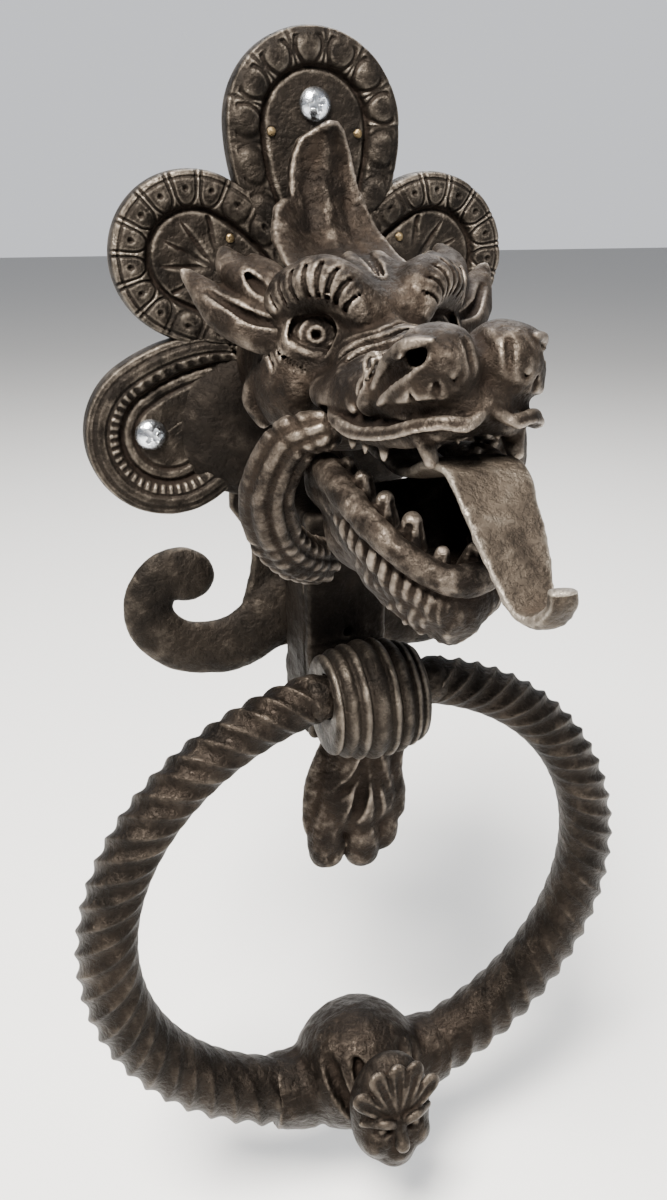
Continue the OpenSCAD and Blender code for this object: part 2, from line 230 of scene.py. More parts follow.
def skin(clay):
    """The clay's surface as points in mm and four-sided faces that point outwards."""
    d, low = clay.grid()
    d = np.pad(d, 1, constant_values=30)
    low = low - clay.step
    inside = d < 0
    n = np.array(d.shape) - 1

    def corner(a, c):
        return a[c[0]:c[0] + n[0], c[1]:c[1] + n[1], c[2]:c[2] + n[2]]
    total = sum(corner(inside, c).astype(np.int8) for c in CORNERS)
    mixed = (total > 0) & (total < 8)
    cell = np.argwhere(mixed)
    number = np.full(mixed.shape, -1, np.int64)
    number[mixed] = np.arange(len(cell))
    at = {c: d[cell[:, 0] + c[0], cell[:, 1] + c[1], cell[:, 2] + c[2]] for c in CORNERS}
    place, hits = np.zeros((len(cell), 3)), np.zeros(len(cell))
    for a in CORNERS:
        for axis in range(3):
            if a[axis]:
                continue
            b = tuple(1 if i == axis else a[i] for i in range(3))
            da, db = at[a], at[b]
            crossing = (da < 0) != (db < 0)
            t = np.where(crossing, da / np.where(crossing, da - db, 1), 0)
            p = np.tile(np.array(a, float), (len(cell), 1))
            p[:, axis] = t
            place += p * crossing[:, None]
            hits += crossing
    points = (cell + place / hits[:, None]) * clay.step + low
    faces = []
    for axis in range(3):
        u, v = (axis + 1) % 3, (axis + 2) % 3
        first = np.take(inside, range(n[axis]), axis)
        second = np.take(inside, range(1, n[axis] + 1), axis)
        edge = np.argwhere(first != second)
        edge = edge[(edge[:, u] > 0) & (edge[:, v] > 0) & (edge[:, u] < n[u]) & (edge[:, v] < n[v])]
        outward = first[tuple(edge.T)]
        around = []
        for du, dv in ((-1, -1), (0, -1), (0, 0), (-1, 0)):
            q = edge.copy()
            q[:, u] += du
            q[:, v] += dv
            around.append(number[tuple(q.T)])
        quad = np.stack(around, 1)
        quad[~outward] = quad[~outward][:, ::-1]
        faces.append(quad)
    return points, np.vstack(faces)


# ---------------------------------------------------------------- meshes

def wobble(p, size, seed):
    """A soft random field between about -1 and 1, with waves about size mm long."""
    rng = np.random.default_rng(seed)
    total = np.zeros(len(p))
    for _ in range(14):
        way = rng.normal(size=3)
        way *= 2 * math.pi / size / np.linalg.norm(way) * rng.uniform(0.6, 1.5)
        total += np.sin(p @ way + rng.uniform(0, 2 * math.pi))
    return total / 5


def even_out(mesh, values, rounds):
    """Averages a value at each point with its neighbours, rounds times."""
    edges = np.zeros(len(mesh.edges) * 2, np.int64)
    mesh.edges.foreach_get("vertices", edges)
    a, b = edges[::2], edges[1::2]
    count = len(mesh.vertices)
    share = 1 + np.bincount(a, minlength=count) + np.bincount(b, minlength=count)
    for _ in range(rounds):
        values = (values + np.bincount(a, values[b], count) + np.bincount(b, values[a], count)) / share
    return values


def read_edges_and_hollows(mesh):
    """Stores how far each point stands out (edge) or lies in a hollow, from the mesh itself."""
    count = len(mesh.vertices)
    p, n = np.zeros(count * 3), np.zeros(count * 3)
    mesh.vertices.foreach_get("co", p)
    mesh.vertex_normals.foreach_get("vector", n)
    p, n = p.reshape(-1, 3) / MM, n.reshape(-1, 3)
    edges = np.zeros(len(mesh.edges) * 2, np.int64)
    mesh.edges.foreach_get("vertices", edges)
    a, b = edges[::2], edges[1::2]
    gap = p[b] - p[a]
    rise = ((n[b] - n[a]) * gap).sum(1) / np.maximum((gap ** 2).sum(1), 0.01)
    seen = np.maximum(np.bincount(a, minlength=count) + np.bincount(b, minlength=count), 1)
    rise = (np.bincount(a, rise, count) + np.bincount(b, rise, count)) / seen
    rise = np.clip(rise, -2, 2)
    # edge feeds the rubbed wear; hollow feeds the rust and painted shade in the hollows.
    for name, rounds in (("edge", 2), ("hollow", 14)):
        layer = mesh.attributes.new(name, "FLOAT", "POINT")
        layer.data.foreach_set("value", even_out(mesh, rise, rounds).astype(np.float32))


def make_mesh(name, points, faces):
    mesh = bpy.data.meshes.new(name)
    mesh.from_pydata((np.asarray(points) * MM).tolist(), [], [list(map(int, f)) for f in faces])
    mesh.validate()
    mesh.update()
    return mesh


def piece(name, mesh, body, finish, replaces=()):
    """Puts a finished mesh into the scene on a body, with its finish and the edge and hollow values for
    its rubbed wear, rust and painted shade.
    """
    mesh.polygons.foreach_set("use_smooth", [True] * len(mesh.polygons))
    shell = bmesh.new()
    shell.from_mesh(mesh)
    if shell.calc_volume(signed=True) < 0:
        mesh.flip_normals()
    shell.free()
    if "edge" not in mesh.attributes:
        read_edges_and_hollows(mesh)
    mesh.materials.clear()
    mesh.materials.append(SKIN[finish])
    obj = bpy.data.objects.new(name, mesh)
    bpy.context.scene.collection.objects.link(obj)
    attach(obj, body)
    if replaces:
        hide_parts(*replaces)
    return obj


def carved(name, clay, body, finish, slot, replaces=(), lump=0.25, lump_size=11, seed=1, place=None):
    """A piece from clay, with the uneven surface that a hammer leaves."""
    points, faces = skin(clay)
    mesh = make_mesh(name, points, faces)
    if lump:
        n = np.zeros(len(points) * 3)
        mesh.vertex_normals.foreach_get("vector", n)
        n = n.reshape(-1, 3)
        height = lump * wobble(points, lump_size, seed)
        height = height + 0.35 * lump * wobble(points, lump_size / 3, seed + 50)
        mesh.vertices.foreach_set("co", ((points + n * height[:, None]) * MM).ravel())
        mesh.update()
    if place is not None:
        mesh.transform(place)
    return piece(name, mesh, body, finish, replaces)


def pair(stem, tail, clay, finish, slot, **surface):
    """Carves a left piece and a right piece from the clay of the right one."""
    for tag, place in (("left", MIRROR), ("right", None)):
        name = stem + "_" + tag
        carved(name + tail, clay, PLATE, finish, slot, (name,), place=place, **surface)


def turned(profile, count):
    """Points and faces of a profile of (along, radius) turned about the X axis, with closed ends."""
    profile = np.array(profile, float)
    angles = 2 * math.pi * np.arange(count) / count
    points = [(a, r * math.cos(t), r * math.sin(t)) for a, r in profile for t in angles]
    faces = []
    for i in range(len(profile) - 1):
        for j in range(count):
            k = (j + 1) % count
            faces.append((i * count + j, (i + 1) * count + j, (i + 1) * count + k, i * count + k))
    faces.append(list(range(count)))
    faces.append([(len(profile) - 1) * count + j for j in range(count - 1, -1, -1)])
    return points, faces


def leaf(rows, width, thick, cup, across, along):
    """A thin curved tongue: rows are middle points, width, thick and cup their sizes."""
    middle = bend(rows, along)
    at = np.linspace(0, 1, len(middle))
    size = [np.interp(at, np.linspace(0, 1, len(v)), v) for v in (width, thick, cup)]
    tangent = np.gradient(middle, axis=0)
    tangent /= np.linalg.norm(tangent, axis=1)[:, None]
    side = np.tile((1.0, 0, 0), (len(middle), 1))
    side -= (side * tangent).sum(1)[:, None] * tangent
    side /= np.linalg.norm(side, axis=1)[:, None]
    up = np.cross(side, tangent)
    turn = 2 * math.pi * np.arange(across) / across
    u, v = np.cos(turn), np.sign(np.sin(turn)) * np.abs(np.sin(turn)) ** 0.6
    w, t, c = (s[:, None, None] for s in size)
    points = (middle[:, None] + side[:, None] * w * u[None, :, None]
              + up[:, None] * (t / 2 * v[None, :, None] + c * u[None, :, None] ** 2))
    count = len(middle)
    faces = [(i * across + j, i * across + (j + 1) % across,
              (i + 1) * across + (j + 1) % across, (i + 1) * across + j)
             for i in range(count - 1) for j in range(across)]
    faces.append(list(range(across - 1, -1, -1)))
    faces.append([(count - 1) * across + j for j in range(across)])
    return points.reshape(-1, 3), faces, np.repeat(at, across)


# -------------------------------------------------------- geometry nodes

class Tree:
    """A Geometry Nodes tree with named inputs; it ends in Realize Instances and Set Material."""

    def __init__(self, name, finish, **inputs):
        self.group = bpy.data.node_groups.new(name, "GeometryNodeTree")
        self.nodes, self.links = self.group.nodes, self.group.links
        face = self.group.interface
        face.new_socket("Geometry", in_out="OUTPUT", socket_type="NodeSocketGeometry")
        self.ids, self.values, self.finish = {}, inputs, finish
        for label, value in inputs.items():
            kind = "Float"
            if isinstance(value, int):
                kind = "Int"
            if isinstance(value, bpy.types.Object):
                kind = "Object"
            s = face.new_socket(label, in_out="INPUT", socket_type="NodeSocket" + kind)
            self.ids[label] = s.identifier
        self.start = self.nodes.new("NodeGroupInput")

    def get(self, label):
        return self.start.outputs[label]

    def put(self, socket, value):
        if isinstance(value, bpy.types.NodeSocket):
            self.links.new(value, socket)
        else:
            socket.default_value = value

    def add(self, kind, out=0, setup=None, **sockets):
        n = self.nodes.new(kind)
        for key, value in (setup or {}).items():
            setattr(n, key, value)
        for key, value in sockets.items():
            key = key.replace("_", " ")
            if key.startswith("in"):
                self.put(n.inputs[int(key[2:])], value)
            else:
                self.put(n.inputs[key], value)
        return n.outputs[out]

    def math(self, operation, a, b=0.0, c=0.0):
        return self.add("ShaderNodeMath", setup={"operation": operation}, in0=a, in1=b, in2=c)

    def grow(self, geometry):
        """The finished mesh of the tree, in metres."""
        whole = self.add("GeometryNodeRealizeInstances", Geometry=geometry)
        n = self.nodes.new("GeometryNodeSetMaterial")
        n.inputs["Material"].default_value = SKIN[self.finish]
        self.links.new(whole, n.inputs["Geometry"])
        end = self.nodes.new("NodeGroupOutput")
        self.links.new(n.outputs[0], end.inputs[0])
        holder = bpy.data.objects.new("holder", bpy.data.meshes.new("holder"))
        bpy.context.scene.collection.objects.link(holder)
        m = holder.modifiers.new("grow", "NODES")
        m.node_group = self.group
        for label, value in self.values.items():
            m[self.ids[label]] = value
        look = bpy.context.evaluated_depsgraph_get()
        mesh = bpy.data.meshes.new_from_object(holder.evaluated_get(look))
        holder.modifiers.remove(m)
        bpy.data.objects.remove(holder)
        return mesh


def upright():
    """Turns a flat drawing in X and Y into one in X and Z that faces the viewer."""
    return Matrix.Rotation(math.pi / 2, 4, "X")


RING_R = 77.7                   # middle line of the ring's bar
RING_DROP = 75.7                # the ring's middle below the hinge
BAR_FROM, BAR_TURN = 13.1, 146.7        # degrees from the top, and degrees along
BAR_THIN, BAR_THICK = 7.3, 11.2         # the bar's radius at its top and at its bottom


def rope_bar():
    """Half of the ring: a tapering bar with five sharp ridges twisted round it."""
    t = Tree("rope bar", "ring_iron", circle=RING_R * MM, begin=math.radians(BAR_FROM),
             sweep=math.radians(BAR_TURN), thin=BAR_THIN * MM, thick=BAR_THICK * MM,
             ridges=27.0, starts=5.0, groove=0.16, steps=780)
    arc = t.add("GeometryNodeCurveArc", setup={"mode": "RADIUS"}, Resolution=t.get("steps"),
                Radius=t.get("circle"), Start_Angle=t.get("begin"), Sweep_Angle=t.get("sweep"))
    factor = t.add("GeometryNodeSplineParameter")
    spread = t.math("SUBTRACT", t.math("DIVIDE", t.get("thick"), t.get("thin")), 1.0)
    grown = t.math("LOGARITHM", t.math("MULTIPLY_ADD", factor, spread, 1.0), math.e)
    share = t.math("DIVIDE", grown, t.math("LOGARITHM", t.math("ADD", spread, 1.0), math.e))
    turns = t.math("DIVIDE", t.math("MULTIPLY", t.get("ridges"), 2 * math.pi), t.get("starts"))
    arc = t.add("GeometryNodeSetCurveTilt", Curve=arc, Tilt=t.math("MULTIPLY", turns, share))
    girth = t.math("MULTIPLY_ADD", factor, t.math("SUBTRACT", t.get("thick"), t.get("thin")),
                   t.get("thin"))
    ring = t.add("GeometryNodeCurvePrimitiveCircle", setup={"mode": "RADIUS"}, Resolution=80, Radius=1.0)
    place = t.add("GeometryNodeInputPosition")
    parts = t.nodes.new("ShaderNodeSeparateXYZ")
    t.put(parts.inputs[0], place)
    angle = t.math("ARCTAN2", parts.outputs[1], parts.outputs[0])
    wave = t.math("SINE", t.math("MULTIPLY", angle, t.math("MULTIPLY", t.get("starts"), 0.5)))
    wave = t.math("POWER", t.math("MULTIPLY_ADD", wave, wave, 0.035), 0.55)
    dip = t.math("MULTIPLY", wave, t.math("MULTIPLY", t.get("groove"), -1.0))
    shift = t.add("ShaderNodeVectorMath", setup={"operation": "SCALE"}, in0=place, Scale=dip)
    ring = t.add("GeometryNodeSetPosition", Geometry=ring, Offset=shift)
    bar = t.add("GeometryNodeCurveToMesh", Curve=arc, Profile_Curve=ring, Scale=girth, Fill_Caps=True)
    return t.grow(bar)


def round_row(finish, motif, radius, count, begin, sweep):
    """Copies of a small shape, evenly spaced round part of a circle and turned with it."""
    t = Tree("round row", finish, motif=motif, circle=radius * MM, count=count,
             begin=math.radians(begin), sweep=math.radians(sweep))
    index = t.add("GeometryNodeInputIndex")
    step = t.math("DIVIDE", t.get("sweep"), t.math("SUBTRACT", t.get("count"), 1.0))
    angle = t.math("MULTIPLY_ADD", index, step, t.get("begin"))
    x = t.math("MULTIPLY", t.math("COSINE", angle), t.get("circle"))
    y = t.math("MULTIPLY", t.math("SINE", angle), t.get("circle"))
    spot = t.add("ShaderNodeCombineXYZ", X=x, Y=y, Z=0.0)
    turn = t.add("ShaderNodeCombineXYZ", X=0.0, Y=0.0, Z=angle)
    dots = t.add("GeometryNodePoints", Count=t.get("count"), Position=spot)
    shape = t.add("GeometryNodeObjectInfo", out=4, Object=t.get("motif"))
    return t.grow(t.add("GeometryNodeInstanceOnPoints", Points=dots, Instance=shape, Rotation=turn))


# ------------------------------------------------------------- materials

def forged_surface():
    """A node group for old forged iron: patina, rubbed edges, rust and painted shade in the hollows,
    pits and grain.
    """
    g = bpy.data.node_groups.new("Forged surface", "ShaderNodeTree")
    face = g.interface
    # The rust colour is both rust and painted shade: it darkens the hollows as shade would.
    wanted = [("Patina", "Color", (0.02, 0.0155, 0.0118, 1)),
              ("Patina shade", "Color", (0.008, 0.0062, 0.0048, 1)),
              ("Rubbed", "Color", (0.17, 0.145, 0.118, 1)), ("Rust", "Color", (0.016, 0.011, 0.008, 1)),
              ("Rubbing", "Float", 1.0), ("Rust share", "Float", 1.0), ("Smooth", "Float", 0.35),
              ("Rough", "Float", 0.62), ("Pits", "Float", 1.0)]
    for label, kind, value in wanted:
        s = face.new_socket(label, in_out="INPUT", socket_type="NodeSocket" + kind)
        s.default_value = value
    for label, kind in (("Base Color", "Color"), ("Roughness", "Float"), ("Height", "Float")):
        face.new_socket(label, in_out="OUTPUT", socket_type="NodeSocket" + kind)
    n, link = g.nodes, g.links.new
    start, end = n.new("NodeGroupInput"), n.new("NodeGroupOutput")

    def noise(scale, detail, rough=0.55):
        a = n.new("ShaderNodeTexNoise")
        a.inputs["Scale"].default_value = scale
        a.inputs["Detail"].default_value = detail
        a.inputs["Roughness"].default_value = rough
        link(where.outputs["Object"], a.inputs["Vector"])
        return a.outputs["Fac"]

    def math_node(operation, a, b=0.0, c=0.0, clamp=False):
        m = n.new("ShaderNodeMath")
        m.operation, m.use_clamp = operation, clamp
        for i, value in enumerate((a, b, c)):
            if isinstance(value, bpy.types.NodeSocket):
                link(value, m.inputs[i])
            else:
                m.inputs[i].default_value = value
        return m.outputs[0]

    def ramp(value, low, high):
        m = n.new("ShaderNodeMapRange")
        m.interpolation_type = "SMOOTHSTEP"
        link(value, m.inputs["Value"])
        m.inputs["From Min"].default_value = low
        m.inputs["From Max"].default_value = high
        return m.outputs["Result"]

    def mix(factor, a, b):
        m = n.new("ShaderNodeMix")
        m.data_type = "RGBA"
        link(factor, m.inputs["Factor"])
        link(a, m.inputs[6])
        link(b, m.inputs[7])
        return m.outputs[2]

    def attribute(name):
        a = n.new("ShaderNodeAttribute")
        a.attribute_name = name
        return a.outputs["Fac"]

    where = n.new("ShaderNodeTexCoord")
    broad, blotch = noise(38, 4), noise(150, 6, 0.65)
    pit, grain = noise(520, 5, 0.6), noise(2600, 3, 0.6)
    edge, hollow = attribute("edge"), attribute("hollow")
    rub = math_node("MULTIPLY_ADD", edge, 1.1, math_node("MULTIPLY_ADD", blotch, 1.3, -0.65))
    rub = math_node("ADD", rub, math_node("MULTIPLY_ADD", grain, 0.3, -0.15))
    rub = math_node("MULTIPLY", ramp(rub, 0.05, 0.95), start.outputs["Rubbing"], clamp=True)
    # Painted shade: the hollows take the darker rust colour, partly real rust and partly shade laid into
    # the colour.
    deep = math_node("MULTIPLY_ADD", hollow, -2.2, math_node("MULTIPLY_ADD", broad, 0.9, -0.42))
    deep = math_node("MULTIPLY", ramp(deep, 0.05, 0.75), start.outputs["Rust share"], clamp=True)
    shade = ramp(math_node("MULTIPLY_ADD", blotch, 0.5, math_node("MULTIPLY", broad, 0.5)), 0.36, 0.62)
    color = mix(shade, start.outputs["Patina shade"], start.outputs["Patina"])
    color = mix(deep, color, start.outputs["Rust"])
    color = mix(rub, color, start.outputs["Rubbed"])
    span = math_node("SUBTRACT", start.outputs["Smooth"], start.outputs["Rough"])
    dull = math_node("MULTIPLY_ADD", span, rub, start.outputs["Rough"])
    dull = math_node("ADD", dull, math_node("MULTIPLY_ADD", pit, 0.24, -0.12))
    dull = math_node("MULTIPLY_ADD", deep, 0.15, dull, clamp=True)
    height = math_node("MULTIPLY", ramp(pit, 0.34, 0.6), start.outputs["Pits"])
    height = math_node("MULTIPLY_ADD", grain, 0.22, height)
    height = math_node("MULTIPLY_ADD", blotch, 0.9, height)
    link(color, end.inputs["Base Color"])
    link(dull, end.inputs["Roughness"])
    link(height, end.inputs["Height"])
    return g


def iron(name, group, metallic=0.86, relief=0.00022, **choices):
    """A finish made from the forged surface with its own colours and amounts."""
    m = bpy.data.materials.new(name)
    m.use_nodes = True
    n, link = m.node_tree.nodes, m.node_tree.links.new
    shader = n["Principled BSDF"]
    g = n.new("ShaderNodeGroup")
    g.node_tree = group
    for label, value in choices.items():
        g.inputs[label.replace("_", " ")].default_value = value
    bump = n.new("ShaderNodeBump")
    bump.inputs["Distance"].default_value = relief
    bump.inputs["Strength"].default_value = 0.9
    link(g.outputs["Height"], bump.inputs["Height"])
    link(bump.outputs["Normal"], shader.inputs["Normal"])
    link(g.outputs["Base Color"], shader.inputs["Base Color"])
    link(g.outputs["Roughness"], shader.inputs["Roughness"])
    shader.inputs["Metallic"].default_value = metallic
    SKIN[name] = m


def plain(name, color, rough):
    """A finish of one colour, with no pattern."""
    m = bpy.data.materials.new(name)
    m.use_nodes = True
    shader = m.node_tree.nodes["Principled BSDF"]
    shader.inputs["Base Color"].default_value = (*color, 1)
    shader.inputs["Roughness"].default_value = rough
    SKIN[name] = m


def finishes():
    """Every finish with its own colours and amounts."""
    # The rust colours below also paint shade into each finish's hollows.
    g = forged_surface()
    iron("plate_iron", g)
    iron("head_iron", g, Patina=(0.024, 0.017, 0.012, 1), Patina_shade=(0.008, 0.0056, 0.004, 1),
         Rubbed=(0.25, 0.21, 0.172, 1), Rust=(0.012, 0.0075, 0.005, 1))
    iron("tongue_iron", g, Patina=(0.07, 0.056, 0.043, 1), Patina_shade=(0.018, 0.0135, 0.01, 1),
         Rubbed=(0.36, 0.32, 0.27, 1), Rust=(0.06, 0.04, 0.027, 1), Pits=1.6, Rubbing=0.8)
    iron("petal_iron", g, Patina=(0.014, 0.0105, 0.008, 1), Patina_shade=(0.007, 0.0053, 0.004, 1),
         Smooth=0.5, Rubbing=0.4, Rough=0.7)
    iron("ring_iron", g, metallic=0.9, Patina=(0.016, 0.0118, 0.0088, 1), Rubbed=(0.16, 0.132, 0.105, 1),
         Rubbing=0.7, Smooth=0.34, Rough=0.5)
    iron("bright_zinc", g, metallic=1.0, relief=0.00006, Patina=(0.72, 0.76, 0.82, 1),
         Patina_shade=(0.55, 0.6, 0.68, 1), Rubbed=(0.85, 0.88, 0.92, 1), Rust=(0.3, 0.31, 0.33, 1),
         Smooth=0.16, Rough=0.26, Rust_share=0.6)
    iron("dull_brass", g, metallic=0.9, Patina=(0.07, 0.048, 0.024, 1),
         Patina_shade=(0.04, 0.027, 0.014, 1), Rubbed=(0.2, 0.145, 0.075, 1), Smooth=0.3, Rough=0.5)
    plain("pale_floor", (0.86, 0.86, 0.85), 0.8)


# ----------------------------------------------------------------- plate

def lobe_relief(kind, r, rho, a, back):
    """Height of a lobe's front above its back face: rho from its middle line, a along its border."""
    mid, half = r - 4.8, 4.6
    inside = rho > mid - half
    h = 5.5 + np.where(inside, 2.0 * np.sqrt(np.clip(1 - ((rho - mid) / half) ** 2, 0, 1)) - 0.25, 0)
    h = h - 1.2 * np.exp(-((rho - (mid - half - 0.5)) / 0.8) ** 2)
    size = 19.5
    if kind == "eggs":
        b = (a * 2.1) % 1 - 0.5
        across, up = b * size / 2.1, (rho - mid + 0.4) / 1.1
        near = np.sqrt((across / 3.1) ** 2 + (up / 3.3) ** 2)
        h = h + 0.55 * np.exp(-near ** 4) - 0.6 * np.exp(-((near - 1.22) / 0.17) ** 2) * (up < 2.6)
        h = h - 0.35 * np.exp(-((np.abs(across) - 4.5) / 0.3) ** 2) * inside
    if kind == "scales":
        b = (a * 2.5) % 1 - 0.5
        across, up = b * (size - 2) / 2.5, rho - (mid - 1.0)
        arch = np.where(up < 0, np.sqrt(across ** 2 + (up * 0.82) ** 2), np.abs(across))
        h = h - 0.55 * np.exp(-((arch - 2.9) / 0.3) ** 2) * inside
        h = h - 0.45 * np.exp(-((np.abs(up) - 3.8) / 0.3) ** 2) * inside * (up > 0)
        h = h + 0.3 * np.exp(-(arch / 2.1) ** 4) * inside
        h = h - 0.9 * np.exp(-((across / 0.6) ** 2 + ((up - 0.9) / 0.6) ** 2))
        turn = a - math.pi / 2
        x, y = rho * np.cos(turn) - back, rho * np.sin(turn)
        for way, off in ((0, 0), (26, 0), (-26, 0), (48, 3), (-48, -3)):
            cx, cy = math.cos(math.radians(way)), math.sin(math.radians(way))
            along, beside = (x + 6) * cx + (y - off) * cy, -(x + 6) * cy + (y - off) * cx
            ray = np.clip(np.minimum(along, 15 - along) / 5, 0, 1)
            h = h - 0.75 * ray * np.exp(-(beside / (0.25 + 0.5 * ray)) ** 2) * (rho < r - 11)
    if kind == "rings":
        h = h - 0.5 * np.exp(-((rho - (mid - 1.0)) / 0.5) ** 2)
        h = h - 0.3 * np.exp(-((rho - (mid + 2.4)) / 0.5) ** 2)
        b = (a * 7) % 1 - 0.5
        band = np.exp(-((rho - (mid - 2.9)) / 1.2) ** 4)
        h = h + 0.26 * band * np.cos(2 * math.pi * b)
        h = h - 0.7 * np.exp(-((rho - (r - 13.5)) / 0.7) ** 2)
    return h


def lobe(name, kind, x, z, r):
    """A chased lobe: a horseshoe of sheet with a raised border, open towards the plate's middle."""
    far = math.hypot(x, z)
    out = np.array((x, z)) / far
    long, bow, steps = min(far * 0.72, 1.2 * r), math.pi * r, 84
    walk = np.concatenate([np.linspace(-long, 0, 60)[:-1], np.linspace(0, bow, 260),
                           np.linspace(bow, bow + long, 60)[1:]])
    t = np.clip(walk / bow, 0, 1) * math.pi - math.pi / 2
    back = np.maximum(-walk, 0) + np.maximum(walk - bow, 0)
    foot = np.array((x, z)) - back[:, None] * out
    way = np.cos(t)[:, None] * out + np.sin(t)[:, None] * np.array((-out[1], out[0]))
    wide = r * np.sqrt(1 - (back / (1.5 * r)) ** 2)
    rim = 0.9
    rho = np.concatenate([np.linspace(-0.05, 1 - rim / r, steps),
                          1 - rim / r * (1 - np.sin(np.linspace(0.2, 1.57, 7)))])
    rr = rho[None, :] * wide[:, None]
    round_way = np.repeat((walk / r)[:, None], len(rho), 1)
    h = lobe_relief(kind, wide[:, None], np.minimum(rr, wide[:, None] - rim), round_way, back[:, None])
    fall = np.clip((rr - (wide[:, None] - rim)) / rim, 0, 1)
    h = h - 2.4 * (1 - np.sqrt(np.clip(1 - fall ** 2, 0, 1)))
    px = foot[:, None, 0] + rr * way[:, None, 0]
    pz = foot[:, None, 1] + rr * way[:, None, 1]
    h += 0.16 * wobble(np.stack([px, 0 * px, pz], -1).reshape(-1, 3), 7, len(name)).reshape(h.shape)
    front = np.stack([px, -h, pz], -1)
    side = [np.stack([px[:, -1], np.full(len(walk), -d), pz[:, -1]], -1) for d in (1.6, 1.0, 0.7)]
    inner = np.stack([px[:, 0], np.full(len(walk), -0.7), pz[:, 0]], -1)
    loops = np.concatenate([front] + [v[:, None] for v in side + [inner]], 1)
    count, rows = loops.shape[1], len(walk)
    faces = [(i * count + j, i * count + (j + 1) % count, (i + 1) * count + (j + 1) % count,
              (i + 1) * count + j)
             for i in range(rows - 1) for j in range(count)]
    faces.append(list(range(count - 1, -1, -1)))
    faces.append([(rows - 1) * count + j for j in range(count)])
    mesh = make_mesh(name, loops.reshape(-1, 3), faces)
    return piece(name, mesh, PLATE, "plate_iron")


def outline_slab(outline, back, front, soft):
    """A flat cut-out, its outline given in X and Z, between the planes y = -back and y = -front."""
    p = np.array(outline, float)
    q = np.roll(p, -1, 0)
    middle, half = -(back + front) / 2, (front - back) / 2

    def distance(x, y, z):
        x, z = np.broadcast_arrays(x, z)
        best, crossed = np.full(x.shape, 1e9), np.zeros(x.shape, bool)
        for (ax, az), (bx, bz) in zip(p, q):
            ex, ez = bx - ax, bz - az
            t = np.clip(((x - ax) * ex + (z - az) * ez) / (ex * ex + ez * ez), 0, 1)
            best = np.minimum(best, (x - ax - t * ex) ** 2 + (z - az - t * ez) ** 2)
            spans = (az > z) != (bz > z)
            crossed ^= spans & (x < ex * (z - az) / (ez if ez else 1e-9) + ax)
        flat = np.where(crossed, -1, 1) * np.sqrt(best) + soft
        deep = abs(y - middle) - half + soft
        out = np.sqrt(np.maximum(flat, 0) ** 2 + np.maximum(deep, 0) ** 2)
        return out + np.minimum(np.maximum(flat, deep), 0) - soft
    low = np.array([p[:, 0].min(), -front, p[:, 1].min()])
    high = np.array([p[:, 0].max(), -back, p[:, 1].max()])
    return distance, low, high


def circle_outline(x, z, r):
    """A circle of 72 corners in X and Z."""
    return [(x + r * math.cos(t), z + r * math.sin(t)) for t in np.linspace(0, 2 * math.pi, 73)[:-1]]


def sheet_and_scrolls():
    """The sheet behind the head, the stem below it and the two scrolls."""
    c = Clay((0, -8, -126), (69, 2, 77), COARSE, mirrored=True)
    c.add(outline_slab(circle_outline(0, 0, 39.5), 0, 3, 0.6), k=0.3)
    for _, x, z, r in LOBES.values():
        c.add(outline_slab(circle_outline(x, z, r - 0.5), 0, 2.2, 0.4), k=0.3)
    stem = [(26, -30), (27.5, -53), (22.5, -60), (21, -67), (21.5, -74), (24, -83), (20, -100),
            (10, -99), (9, -122)]
    stem += [(-x, z) for x, z in reversed(stem)]
    c.add(outline_slab(stem, 0, 3, 1), k=1)
    path = [(12, -2.4, -84), (19, -2.4, -91), (27, -2.4, -95.6), (37, -2.4, -96.3), (46, -2.4, -93.6),
            (52.2, -2.4, -87), (53.4, -2.4, -79.5), (50, -2.4, -73.4), (44.5, -2.4, -70.8),
            (40.2, -2.4, -72.6)]
    c.strand(path, [8, 8, 7.6, 7.3, 6.6, 6.1, 5.6, 5.8, 6.4, 6.5], k=1.5, flat=((0, 1, 0), 2.3))
    c.cut(block((0, 10, -40), (80, 10, 100), 0.1), k=0.3)
    return carved("plate_sheet", c, PLATE, "plate_iron", "patinated_iron", lump=0.22, lump_size=16,
                  seed=3)


def petals():
    """The two plain domes between the sheet and the head."""
    c = Clay((-1, -13, -51), (43, -2, -5), MEDIUM)
    c.add(ball((20.5, -3, -28), (21, 7.9, 21)), k=0.3)
    c.add(hoop((20.5, -4.4, -28), (0, 1, 0), 19.8, 1.0), k=1.4)
    c.strand([(8, -8, -42), (6, -10, -30), (12, -10.4, -16)], [0.3, 1.0, 0.3], k=2.4)
    c.cut(block((20, 7, -28), (40, 10, 40), 0.1), k=0.3)
    pair("petal", "_dome", c, "petal_iron", "dark_iron", lump=0.3, lump_size=14, seed=4)


def small_object(name, mesh):
    """Holds a small shape, hidden, for a node tree to repeat."""
    obj = bpy.data.objects.new(name, mesh)
    bpy.context.scene.collection.objects.link(obj)
    obj.hide_render = True
    obj.hide_set(True)
    return obj


def screw_shape():
    """The pan head of one wood screw, with a cross recess; the screw points along -Z and the head's seat
    is at 0.
    """
    c = Clay((-5, -5, -0.4), (5, 5, 3.4), 0.16)
    c.add(ball((0, 0, -0.6), (4.55, 4.55, 3.5)), k=0.2)
    c.cut(block((0, 0, -5), (9, 9, 5), 0.1), k=0.1)
    for turn in (20, 110):
        c.cut(block((0, 0, 3.2), (2.3, 0.55, 1.5), 0.2, (0, 0, turn)), k=0.15)
    c.cut(ball((0, 0, 3.2), (1.1, 1.1, 1.4)), k=0.2)
    points, faces = skin(c)
    head = make_mesh("screw_head", points, faces)
    return small_object("screw_head_shape", head)


